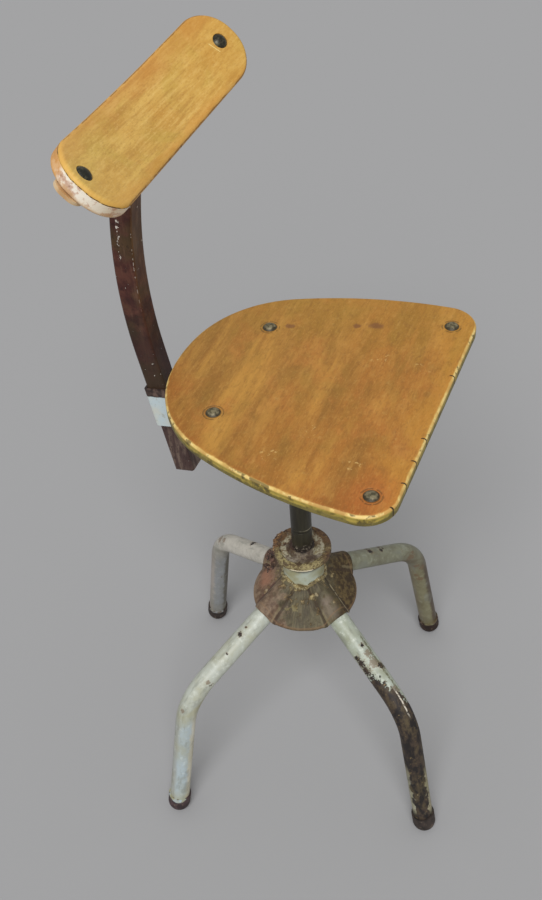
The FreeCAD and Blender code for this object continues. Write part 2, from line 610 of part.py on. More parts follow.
# Seat spider: a disc with an arm to each seat bolt.
front_bolt_x = "(sizes.seat_width / 2 - sizes.front_bolt_inset)"
front_bolt_y = "-(sizes.seat_front - sizes.front_bolt_setback)"
seat_bolts = {"front_right": ("-" + front_bolt_x, front_bolt_y),
              "front_left": (front_bolt_x, front_bolt_y),
              "rear_left": ("sizes.rear_bolt_x", "(sizes.seat_back - sizes.rear_bolt_inset)"),
              "rear_right": ("-sizes.rear_bolt_x", "(sizes.seat_back - sizes.rear_bolt_inset)")}
spider_parts = [cylinder("spider_disc", "sizes.spider_diameter / 2", "sizes.spider_thickness")]
spider_holes = []
for corner, (bolt_x, bolt_y) in seat_bolts.items():
    bearing = math.degrees(math.atan2(value(bolt_y), value(bolt_x)))
    reach = "sqrt(pow(%s; 2) + pow(%s; 2))" % (bolt_x, bolt_y)
    arm_turn = about((0, 0, 1), bearing)
    arm_corner = arm_turn.multVec(Vector(0, -value("sizes.spider_arm_width / 2"), 0))
    spider_parts.append(block("spider_arm_" + corner, reach, "sizes.spider_arm_width", "sizes.spider_thickness",
                              Placement(arm_corner, arm_turn)))
    bolt_place = at(value(bolt_x), value(bolt_y), 0)
    spider_parts.append(cylinder("spider_end_" + corner, "sizes.spider_arm_width / 2", "sizes.spider_thickness",
                                 bolt_place))
    spider_holes.append(cylinder("spider_hole_" + corner, "%s + sizes.hole_gap" % coach_radius,
                                 "sizes.spider_thickness", bolt_place))
spider = cut("seat_spider", fused("spider_plate", spider_parts), fused("spider_bolt_holes", spider_holes))
spider.Placement = at(z=value(spider_underside))
nodes.append(spider)


# Seat board: a straight front edge, round corners, bowed sides, round shoulders and a curved back,
# each arc tangent to the next.
def seat_half():
    # One half of the outline for x above 0, from the front edge round to the back arc.
    front = -value("sizes.seat_front")
    corner = value("sizes.seat_corner_radius")
    side = value("sizes.seat_side_radius")
    back = value("sizes.seat_back_radius")
    taper = math.radians(value("sizes.seat_taper"))
    outward = Vector(math.cos(taper), math.sin(taper), 0)
    corner_centre = Vector(value("sizes.seat_width / 2") - corner, front + corner, 0)
    corner_start = Vector(corner_centre.x, front, 0)
    side_start = corner_centre + outward * corner
    side_centre = side_start - outward * side
    back_centre = Vector(0, value("sizes.seat_back") - back, 0)
    # The shoulder's arc leaves the back arc at its end and touches the side arc from inside.
    half_arc = value("sizes.seat_width / 2 - sizes.seat_shoulder_span")
    shoulder_end = back_centre + Vector(half_arc, math.sqrt(back ** 2 - half_arc ** 2), 0)
    back_way = (shoulder_end - back_centre).normalize()
    reach = shoulder_end - side_centre
    shoulder = (side ** 2 - reach.Length ** 2) / (2 * (side - back_way.dot(reach)))
    shoulder_centre = shoulder_end - back_way * shoulder
    side_way = (shoulder_centre - side_centre).normalize()
    side_end = shoulder_centre + side_way * shoulder
    corner_middle = corner_centre + (outward + Vector(0, -1, 0)).normalize() * corner
    side_middle = side_centre + (outward + side_way).normalize() * side
    shoulder_middle = shoulder_centre + (side_way + back_way).normalize() * shoulder
    return ((corner_start, corner_middle, side_start), (side_start, side_middle, side_end),
            (side_end, shoulder_middle, shoulder_end))


def seat_outline():
    shift = Vector(value("sizes.seat_shift"), 0, 0)
    half = seat_half()
    left = [[point + shift for point in arc] for arc in half]
    right = [[Vector(-point.x, point.y, 0) + shift for point in arc] for arc in half]
    curves = [Part.Arc(*arc) for arc in left + right]
    back_middle = Vector(shift.x, value("sizes.seat_back"), 0)
    curves.append(Part.Arc(left[-1][-1], back_middle, right[-1][-1]))
    curves.append(Part.LineSegment(right[0][0], left[0][0]))
    return curves


seat = new_body("seat_board", at(z=value(seat_underside)))
board_sketch = new_sketch(seat, "XY_Plane")
for curve in seat_outline():
    index = board_sketch.addGeometry(curve, False)
    board_sketch.addConstraint(Sketcher.Constraint("Block", index))
pad(seat, board_sketch, "sizes.seat_thickness")
holes_sketch = new_sketch(seat, "XY_Plane")
for bolt_x, bolt_y in seat_bolts.values():
    circle(holes_sketch, "%s + sizes.hole_gap" % coach_radius, value(bolt_x), value(bolt_y))
seat_holes = pocket(seat, holes_sketch, both_ways=True)
doc.recompute()


def rim_edges(shape, height):
    # Outline edges at one height; the bolt holes are whole circles and stay sharp.
    edges = enumerate(shape.Edges, start=1)
    return ["Edge%d" % index for index, edge in edges
            if abs(edge.BoundBox.ZMin - height) < 1e-6 and edge.BoundBox.ZLength < 1e-6
            and len(edge.Vertexes) == 2]


for label, height, radius in (("seat_top_arris", value("sizes.seat_thickness"), "sizes.seat_edge_radius"),
                              ("seat_under_arris", 0.0, "sizes.seat_under_radius")):
    last = seat.Tip
    arris = seat.newObject("PartDesign::Fillet", label)
    arris.Base = (last, rim_edges(last.Shape, height))
    arris.setExpression("Radius", radius)
    doc.recompute()
nodes.append(seat)

seat_bolt_length = "sizes.seat_thickness + sizes.spider_thickness + sizes.coach_nut_height + sizes.coach_tail"
bolt_set = []
nut_set = []
for corner, (bolt_x, bolt_y) in seat_bolts.items():
    bolt_set.append(coach_bolt("seat_bolt_" + corner, seat_bolt_length,
                               at(value(bolt_x), value(bolt_y), value("sizes.seat_height"))))
    nut_set.append(nut("seat_nut_" + corner, "sizes.coach_nut_width", "sizes.coach_nut_height", coach_radius,
                       at(value(bolt_x), value(bolt_y), value("%s - sizes.coach_nut_height" % spider_underside))))
nodes.append(group("seat_bolts", bolt_set))
nodes.append(group("seat_nuts", nut_set))

# Post sleeve on its dipped rear arm, with the clamp screw through its side.
lean = about((1, 0, 0), -value("sizes.post_lean"))
sleeve_middle = Vector(0, value("sizes.sleeve_setback"), value(sleeve_height))
sleeve_blank = new_body("post_sleeve_blank", Placement(sleeve_middle, lean))
sleeve_sketch = new_sketch(sleeve_blank, "XY_Plane")
rounded_rectangle(sleeve_sketch, sleeve_outside, sleeve_outside, "sizes.sleeve_corner_radius")
rounded_rectangle(sleeve_sketch, sleeve_inside, sleeve_inside, "sizes.post_corner_radius")
pad(sleeve_blank, sleeve_sketch, "sizes.sleeve_length", both_ways=True)
sideways = lean * about((0, 1, 0), 90)
clamp_hole = cylinder("clamp_hole", cross_hole, sleeve_outside, Placement(sleeve_middle, sideways))
nodes.append(cut("post_sleeve", sleeve_blank, clamp_hole))
sleeve_face = sleeve_middle + Vector(value("%s / 2" % sleeve_outside), 0, 0)
nodes.append(nut("clamp_nut", "sizes.bolt_head_width", "sizes.nut_height", "%s + sizes.running_gap" % bolt_radius,
                 Placement(sleeve_face, sideways)))

arm_rise = "%s - 2 * sizes.rear_arm_bend_radius * (1 - cos(sizes.rear_arm_dip * 1 deg))" % arm_drop
arm_slope = "(%s) / sin(sizes.rear_arm_dip * 1 deg)" % arm_rise
arm_forward = "2 * sizes.rear_arm_bend_radius * sin(sizes.rear_arm_dip * 1 deg)"
arm_start = "(%s + sizes.press_gap)" % socket_radius
arm_last = ("sizes.sleeve_setback - %s - sizes.rear_arm_run - %s - (%s) / tan(sizes.rear_arm_dip * 1 deg)"
            % (arm_start, arm_forward, arm_rise))
arm_middle = "%s - sizes.rear_arm_thickness / 2" % spider_underside
arm = new_body("rear_arm_blank", at(0, value(arm_start), value(arm_middle)))
arm_path = new_sketch(arm, "YZ_Plane")
route(arm_path, (("run", "sizes.rear_arm_run"), ("turn", "sizes.rear_arm_bend_radius", "sizes.rear_arm_dip", -1),
                 ("run", arm_slope), ("turn", "sizes.rear_arm_bend_radius", "sizes.rear_arm_dip", 1),
                 ("run", arm_last)))
arm_section = new_sketch(arm, "XZ_Plane")
rounded_rectangle(arm_section, "sizes.rear_arm_width", "sizes.rear_arm_thickness",
                  "sizes.rear_arm_thickness / 6")
swept(arm, arm_section, arm_path)
half_sleeve = value("%s / 2" % sleeve_outside)
sleeve_envelope = block("sleeve_envelope", sleeve_outside, sleeve_outside, "2 * sizes.sleeve_length")
corner_shift = lean.multVec(Vector(-half_sleeve, -half_sleeve, -value("sizes.sleeve_length")))
sleeve_envelope.Placement = Placement(sleeve_middle + corner_shift, lean)
nodes.append(cut("rear_arm", arm, sleeve_envelope))

clamp_tip = "(sizes.post_size / 2 + sizes.tip_gap)"
clamp_head = "(%s / 2 + sizes.nut_height + sizes.clamp_reach)" % sleeve_outside
clamp_shank = cylinder("clamp_shank", bolt_radius, "%s - %s" % (clamp_head, clamp_tip),
                       at(z=value(clamp_tip)))
clamp_hub = cylinder("clamp_hub", "sizes.wing_hub / 2", "sizes.wing_height", at(z=value(clamp_head)))
wings = new_body("clamp_wings", at(z=value("%s + sizes.wing_height / 2" % clamp_head)))
wing_sketch = new_sketch(wings, "XZ_Plane")
rounded_rectangle(wing_sketch, "sizes.wing_span", "sizes.wing_height", "sizes.wing_height / 2.2")
pad(wings, wing_sketch, "sizes.wing_thickness", both_ways=True)
clamp_screw = fused("clamp_screw", [clamp_shank, clamp_hub, wings])
clamp_screw.Placement = Placement(sleeve_middle, sideways)
nodes.append(clamp_screw)

# Back post: square tube, straight through the sleeve and then curving forwards to the pivot.
post_foot = sleeve_middle - lean.multVec(Vector(0, 0, value("sizes.post_tail")))
post = new_body("back_post_blank", Placement(post_foot, lean))
post_path = new_sketch(post, "YZ_Plane")
route(post_path, (("run", "sizes.post_straight"),
                  ("turn", "sizes.post_bend_radius", "sizes.post_turn", 1)), math.pi / 2)
post_section = new_sketch(post, "XY_Plane")
post_inside = "sizes.post_size - 2 * sizes.post_wall"
rounded_rectangle(post_section, "sizes.post_size", "sizes.post_size", "sizes.post_corner_radius")
rounded_rectangle(post_section, post_inside, post_inside, "sizes.post_corner_radius - sizes.post_wall / 2")
swept(post, post_section, post_path)
pivot_angle = math.radians(value("sizes.post_turn - sizes.pivot_inset / sizes.post_bend_radius * 180 / pi"))
bend = value("sizes.post_bend_radius")
pivot_local = Vector(0, bend * (math.cos(pivot_angle) - 1),
                     value("sizes.post_straight") + bend * math.sin(pivot_angle))
pivot = post_foot + lean.multVec(pivot_local)
pivot_hole = cylinder("post_pivot_hole", "%s + sizes.running_gap" % bolt_radius, "2 * sizes.post_size",
                      at(-value("sizes.post_size"), pivot.y, pivot.z, across))
nodes.append(cut("back_post", post, pivot_hole))

# Backrest, built about its pivot: local Y runs up the pad and local Z towards the sitter.
backrest_place = Placement(pivot, about((1, 0, 0), 90 - value("sizes.pad_recline")))
bow_axis = value("sizes.pad_stand + %s" % pad_back_radius)
stood_up = about((1, 0, 0), 90)


def bowed_sheet(label, outer, inner):
    # A sheet bent to the pad's hollow, standing along local Y.
    tall = "4 * sizes.pad_height"
    top = value(tall) / 2
    shell = [cylinder(label + side, radius, tall, at(0, top, bow_axis, stood_up))
             for side, radius in (("_back", outer), ("_front", inner))]
    return cut(label, shell[0], shell[1])


def backrest_plate(label, outline, middle, roll, sheet_form):
    body = new_body(label + "_outline", at(middle[0], middle[1], 0, about((0, 0, 1), roll)))
    sketch = new_sketch(body, "XY_Plane")
    rounded_rectangle(sketch, *outline)
    pad(body, sketch, "2 * (sizes.pad_stand + sizes.pad_thickness + sizes.pad_bow_depth)")
    return common(label + "_plate", body, sheet_form)


def pad_bolt_place(side, radius):
    # A bolt stands square to the bowed pad, at a distance from the bow's axis.
    swing = side * math.degrees(math.asin(value("%s / %s" % (pad_bolt_x, pad_radius))))
    turn = about((0, 1, 0), -swing)
    seat_point = Vector(0, value("sizes.pad_bolt_rise"), bow_axis) - turn.multVec(Vector(0, 0, value(radius)))
    return Placement(seat_point, turn)


def pad_holes(label):
    return [cylinder("%s_%d" % (label, side), "%s + sizes.hole_gap" % coach_radius, "4 * sizes.pad_thickness",
                     pad_bolt_place(side, "(%s + 2 * sizes.pad_thickness)" % pad_radius))
            for side in (-1, 1)]


def pad_spot_faces():
    # Flat seats for the cup heads, let into the hollow face.
    return [cylinder("pad_spot_face_%d" % side, "sizes.coach_head / 2 + sizes.hole_gap",
                     "sizes.pad_thickness", pad_bolt_place(side, head_seat))
            for side in (-1, 1)]


head_seat = "(%s + sizes.pad_spot_depth)" % pad_radius
bolt_line = value("sizes.pad_bolt_rise")
pad_middle = (value("sizes.pad_shift"), bolt_line - value("sizes.pad_drop"))
pad_outline = ("sizes.pad_length", "sizes.pad_height", "sizes.pad_corner_radius")
pad_plate = backrest_plate("backrest_pad", pad_outline, pad_middle, value("sizes.pad_roll"),
                           bowed_sheet("pad_sheet", pad_back_radius, pad_radius))
pad_cuts = fused("pad_cuts", pad_holes("pad_hole") + pad_spot_faces())
pad_drilled = cut("backrest_pad_drilled", pad_plate, pad_cuts)


def on_pad_faces(edge):
    # Outline edges run along the front or the back face; edges through the thickness do not.
    straight_through = max(edge.BoundBox.ZLength, 1e-6) > 0.9 * value("sizes.pad_thickness")
    return not straight_through and len(edge.Vertexes) == 2 and edge.Length > value("sizes.coach_head")


backrest_pad = rounded("backrest_pad", pad_drilled, "sizes.pad_edge_radius", on_pad_faces)
backrest_pad.Placement = backrest_place
nodes.append(backrest_pad)

strap_outline = (strap_length, "sizes.strap_width", "sizes.strap_corner_radius")
strap_front_radius = "%s + sizes.press_gap" % pad_back_radius
strap_plate = backrest_plate("backrest_strap", strap_outline, (0, bolt_line), 0,
                             bowed_sheet("strap_sheet", strap_back_radius, strap_front_radius))
strap = cut("backrest_strap", strap_plate, fused("strap_holes", pad_holes("strap_hole")))
strap.Placement = backrest_place
nodes.append(strap)

pad_grip = "(sizes.pad_thickness - sizes.pad_spot_depth + sizes.strap_thickness)"
pad_bolt_length = "%s + sizes.coach_nut_height + sizes.coach_tail" % pad_grip
pad_bolt_set = []
pad_nut_set = []
for side, hand in ((-1, "right"), (1, "left")):
    pad_bolt_set.append(coach_bolt("pad_bolt_" + hand, pad_bolt_length,
                                   backrest_place * pad_bolt_place(side, head_seat)))
    nut_seat = pad_bolt_place(side, "(%s + sizes.coach_nut_height)" % strap_back_radius)
    pad_nut_set.append(nut("pad_nut_" + hand, "sizes.coach_nut_width", "sizes.coach_nut_height", coach_radius,
                           backrest_place * nut_seat))
nodes.append(group("pad_bolts", pad_bolt_set))
nodes.append(group("pad_nuts", pad_nut_set))

# Pivot bracket: a web on the back of the strap with an ear on each side of the post.
web_front = "(sizes.pad_stand - sizes.strap_thickness - sizes.press_gap)"
bracket_width = "2 * (%s + sizes.ear_thickness)" % ear_face
ear_parts = []
for hand, inner in (("right", "-(%s + sizes.ear_thickness)" % ear_face), ("left", ear_face)):
    ear_parts.append(cylinder("ear_round_" + hand, "sizes.ear_width / 2", "sizes.ear_thickness",
                              at(value(inner), 0, 0, across)))
    ear_parts.append(block("ear_plate_" + hand, "sizes.ear_thickness", "sizes.ear_width", web_front,
                           at(value(inner), -value("sizes.ear_width / 2"), 0)))
ear_parts.append(block("bracket_web", bracket_width, "sizes.ear_width", "sizes.ear_thickness",
                       at(-value(bracket_width) / 2, -value("sizes.ear_width / 2"),
                          value("%s - sizes.ear_thickness" % web_front))))
ear_hole = cylinder("ear_hole", "%s + sizes.press_gap" % bolt_radius, bracket_width,
                    at(-value(bracket_width) / 2, 0, 0, across))
bracket = cut("pivot_bracket", fused("pivot_bracket_blank", ear_parts), ear_hole)
bracket.Placement = backrest_place
nodes.append(bracket)
pivot_grip = "%s + sizes.nut_height + sizes.bolt_tail" % bracket_width
half_bracket = value(bracket_width) / 2
nodes.append(hex_bolt("pivot_bolt", pivot_grip, backrest_place * at(-half_bracket, 0, 0, across)))
nodes.append(nut("pivot_nut", "sizes.bolt_head_width", "sizes.nut_height", bolt_radius,
                 backrest_place * at(half_bracket, 0, 0, across)))

doc.recompute()
for item in doc.Objects:
    if "Invalid" in item.State or "Error" in item.State:
        raise RuntimeError("%s did not build: %s" % (item.Label, item.State))
for node in nodes:
    if node.Shape.isNull() or not node.Shape.isValid() or not node.Shape.Solids:
        raise RuntimeError("%s is not a sound solid" % node.Label)

os.makedirs("parts", exist_ok=True)
for node in nodes:
    node.Shape.exportStep(os.path.join("parts", node.Label + ".step"))
print("pieces:", len(nodes))
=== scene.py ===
import math

import bmesh
import bpy
from mathutils import Matrix, Vector, noise


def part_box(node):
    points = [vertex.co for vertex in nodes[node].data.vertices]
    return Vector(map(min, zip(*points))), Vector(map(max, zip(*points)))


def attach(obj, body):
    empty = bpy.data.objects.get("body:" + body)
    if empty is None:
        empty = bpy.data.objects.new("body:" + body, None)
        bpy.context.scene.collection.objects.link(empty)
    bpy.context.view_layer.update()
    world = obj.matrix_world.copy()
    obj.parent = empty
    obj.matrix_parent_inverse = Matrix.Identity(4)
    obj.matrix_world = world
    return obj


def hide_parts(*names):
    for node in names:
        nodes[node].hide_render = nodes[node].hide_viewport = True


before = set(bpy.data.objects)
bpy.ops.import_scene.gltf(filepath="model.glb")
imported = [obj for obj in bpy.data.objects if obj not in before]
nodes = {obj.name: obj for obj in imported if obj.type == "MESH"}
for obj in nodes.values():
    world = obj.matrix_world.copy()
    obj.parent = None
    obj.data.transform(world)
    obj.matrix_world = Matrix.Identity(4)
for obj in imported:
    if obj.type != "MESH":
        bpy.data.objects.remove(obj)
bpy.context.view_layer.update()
print("frame loaded with", len(nodes), "nodes")


def colour(red, green, blue):  # a colour as it is seen, 0 to 255
    parts = [c / 255 for c in (red, green, blue)]
    parts = [c / 12.92 if c <= 0.04045 else ((c + 0.055) / 1.055) ** 2.4 for c in parts]
    return (*parts, 1.0)


class Sock:  # one output in a material, with arithmetic
    def __init__(self, finish, out):
        self.finish = finish
        self.out = out

    def calc(self, kind, *others):
        return self.finish.calc(kind, self, *others)

    def __add__(self, other):
        return self.calc("ADD", other)

    def __radd__(self, other):
        return self.calc("ADD", other)

    def __sub__(self, other):
        return self.calc("SUBTRACT", other)

    def __rsub__(self, other):
        return self.finish.calc("SUBTRACT", other, self)

    def __mul__(self, other):
        return self.calc("MULTIPLY", other)

    def __rmul__(self, other):
        return self.calc("MULTIPLY", other)

    def __truediv__(self, other):
        return self.calc("DIVIDE", other)

    def __abs__(self):
        return self.calc("ABSOLUTE")

    def orMore(self, other):
        return self.calc("MAXIMUM", other)

    def orLess(self, other):
        return self.calc("MINIMUM", other)

    def rise(self, low, high):  # 0 below low, 1 above high, eased between
        return self.finish.make(
            "ShaderNodeMapRange",
            {"interpolation_type": "SMOOTHSTEP"},
            {"Value": self, "From Min": low, "From Max": high},
        )

    def fall(self, low, high):
        return 1.0 - self.rise(low, high)

    def band(self, middle, half, soft):  # 1 within half of middle
        return abs(self - middle).fall(half, half + soft)

    def shake(self, by, amount):  # moved by a noise, so that an edge on it is ragged
        return self + (by - 0.5) * amount


class Finish:  # one material and its nodes
    def __init__(self, name):
        self.material = bpy.data.materials.new(name)
        self.material.use_nodes = True
        self.tree = self.material.node_tree
        self.shader = self.tree.nodes["Principled BSDF"]

    def feed(self, socket, value):
        if isinstance(value, Sock):
            self.tree.links.new(value.out, socket)
        else:
            socket.default_value = value

    def make(self, kind, settings, sockets, out=0):
        node = self.tree.nodes.new(kind)
        for key, value in settings.items():
            setattr(node, key, value)
        for key, value in sockets.items():
            self.feed(node.inputs[key], value)
        return Sock(self, node.outputs[out])

    def calc(self, kind, *values):
        return self.make("ShaderNodeMath", {"operation": kind}, dict(enumerate(values)))

    def place(self, location=(0, 0, 0), rotation=(0, 0, 0), scale=(1, 1, 1)):
        here = self.make("ShaderNodeTexCoord", {}, {}, "Object")
        turn = tuple(math.radians(a) for a in rotation)
        return self.make(
            "ShaderNodeMapping",
            {"vector_type": "TEXTURE"},
            {"Vector": here, "Location": location, "Rotation": turn, "Scale": scale},
        )

    def parts(self, vector):
        node = self.tree.nodes.new("ShaderNodeSeparateXYZ")
        self.feed(node.inputs[0], vector)
        return [Sock(self, out) for out in node.outputs]

    def noise(self, vector, scale, detail=3.0, rough=0.55, warp=0.0):
        return self.make(
            "ShaderNodeTexNoise",
            {},
            {"Vector": vector, "Scale": scale, "Detail": detail, "Roughness": rough, "Distortion": warp},
        )

    def far(self, vector, point):  # distance from a fixed point
        return self.make("ShaderNodeVectorMath", {"operation": "DISTANCE"}, {0: vector, 1: point}, "Value")

    def flat(self, across, along):  # distance of two offsets
        return self.calc("SQRT", across * across + along * along)

    def mix(self, amount, first, second):  # two colours; 6, 7 and 2 are the node's sockets for them
        first, second = (tint if isinstance(tint, Sock) else colour(*tint) for tint in (first, second))
        return self.make("ShaderNodeMix", {"data_type": "RGBA"}, {0: amount, 6: first, 7: second}, 2)

    def wash(self, base, *coats):  # colours laid on in turn, each with how much of it shows
        for amount, *tint in coats:
            base = self.mix(amount, base, tint)
        return base

    def bump(self, height, depth):
        return self.make("ShaderNodeBump", {}, {"Height": height, "Distance": depth, "Strength": 1.0})

    def done(self, **sockets):
        for key, value in sockets.items():
            self.feed(self.shader.inputs[key.replace("_", " ")], value)
        return self.material


def wear(f, at, seed):  # small chips, from coarse and fine noise
    aside = (seed, seed * 0.7, -seed)
    shifted = f.make("ShaderNodeVectorMath", {"operation": "ADD"}, {0: at, 1: aside})
    coarse = f.noise(shifted, 34.0, 2.0)
    fine = f.noise(shifted, 150.0, 4.0, 0.65)
    return coarse * 0.62 + fine * 0.38


chipDark = (46, 40, 38)
rustBrown = (104, 72, 46)
shadowDark = (33, 29, 27)


def spots(f, at, ragged, marks):  # ragged patches at fixed points
    found = 0.0
    for point, reach in marks:
        found = found + f.far(at, point).shake(ragged, reach * 3.6).fall(reach * 0.85, reach)
    return found.orLess(1.0)


def heading(turn):  # the way that a turn in degrees points, on the floor
    return Vector((math.cos(math.radians(turn)), math.sin(math.radians(turn))))


# each leg's own paint: on the slope, on the upright, on its two edges as the camera sees them,
# which is painted light and shade, its dirt, also laid on as painted shade under the slope,
# how much dirt and how much clean paint there is, and the chips and stains at their places
# a lap is where the paint comes down over the foot: its turn, how far all round and how far more there
# front_left's colours and rear_left's upright are darker: partly dirt, partly the seat's shadow painted on
# them
legs = {
    "leg_rear_left": {
        "turn": 60.2,
        "slope": (196, 191, 180),
        "upright": (136, 138, 140),
        "edges": ((164, 154, 144), (70, 62, 42)),
        "dirtAndShade": (122, 118, 104),
        "clean": 0.08,
        "share": 0.6,
        "lap": (210.0, -0.002, 0.007),
        "rubber": (64, 52, 48),
        "marks": (
            ((0.0555, 0.0978, 0.2605), 0.0030),
            ((0.0605, 0.0971, 0.2590), 0.0034),
            ((0.0575, 0.0930, 0.2640), 0.0022),
        ),
        "stains": (((0.0853, 0.1628, 0.2167), 0.006), ((0.0781, 0.1525, 0.2257), 0.004)),
    },
    "leg_rear_right": {
        "turn": 150.2,
        "slope": (180, 185, 175),
        "upright": (172, 186, 192),
        "edges": ((160, 162, 156), (214, 208, 188)),
        "dirtAndShade": (158, 152, 114),
        "clean": 0.3,
        "share": 0.55,
        "lap": (214.0, 0.0, 0.004),
        "rubber": (82, 64, 66),
        "marks": (
            ((-0.0915, 0.0513, 0.2645), 0.0030),
            ((-0.0826, 0.0465, 0.2698), 0.0013),
            ((-0.1150, 0.0600, 0.2500), 0.0012),
        ),
        "stains": (((-0.1482, 0.0730, 0.2267), 0.0028), ((-0.1773, 0.0989, 0.1939), 0.0030)),
    },
    "leg_front_right": {
        "turn": 240.2,
        "slope": (176, 184, 172),
        "upright": (186, 180, 150),
        "edges": ((184, 180, 154), (180, 170, 136)),
        "dirtAndShade": (128, 126, 84),
        "clean": 0.4,
        "share": 0.55,
        "lap": (193.0, -0.006, 0.0),
        "rubber": (62, 52, 47),
        "marks": (
            ((-0.0675, -0.0932, 0.2489), 0.0040),
            ((-0.0708, -0.0995, 0.2459), 0.0050),
            ((-0.0754, -0.1074, 0.2412), 0.0056),
            ((-0.0637, -0.1227, 0.2454), 0.0038),
            ((-0.0547, -0.0953, 0.2619), 0.0024),
            ((-0.0619, -0.1260, 0.2440), 0.0030),
        ),
        "stains": (
            ((-0.0597, -0.1047, 0.2563), 0.005),
            ((-0.0657, -0.1144, 0.2502), 0.006),
            ((-0.0819, -0.1478, 0.2302), 0.006),
        ),
        "wornFrom": 0.163,
    },
    "leg_front_left": {
        "turn": 330.2,
        "slope": (132, 134, 114),
        "upright": (126, 122, 94),
        "edges": ((126, 116, 88), (62, 42, 28)),
        "dirtAndShade": (92, 80, 56),
        "clean": 0.1,
        "share": 0.75,
        "lap": (196.0, -0.002, 0.006),
        "rubber": (54, 34, 26),
        "marks": (
            ((0.0942, -0.0556, 0.2621), 0.0036),
            ((0.0959, -0.0495, 0.2620), 0.0024),
            ((0.1140, -0.0602, 0.2510), 0.0024),
            ((0.1092, -0.0660, 0.2521), 0.0028),
            ((0.1150, -0.0660, 0.2490), 0.0018),
        ),
        "stains": (
            ((0.1450, -0.0976, 0.2120), 0.007),
            ((0.1569, -0.1020, 0.1822), 0.005),
            ((0.1643, -0.1087, 0.1747), 0.004),
            ((0.1619, -0.1012, 0.1575), 0.004),
            ((0.1648, -0.1065, 0.1476), 0.005),
        ),
    },
}
# the foot's distance from the pillar and its top, how the upright leans, the slope's start and fall,
# the heights of the bend and of the dirt above the foot, the upright's two edges as the camera sees them,
# where light and shade are painted, the slope's underside, where shade is painted,
# and how far out the chips get more
tube = {
    "reach": 0.2329,
    "foot": 0.028,
    "lean": 0.2009,
    "top": 0.3057,
    "fall": 0.5295,
    "bend": (0.16, 0.21),
    "muddy": (0.028, 0.05),
    "leftEdgeShade": (-0.0105, -0.0050),
    "rightEdgeShade": (0.0050, 0.0095),
    "shadedUnderside": (-0.011, -0.005),
    "chipped": (0.09, 0.2),
}
toRight = Vector((0.429, -0.903))  # the camera's right, on the floor


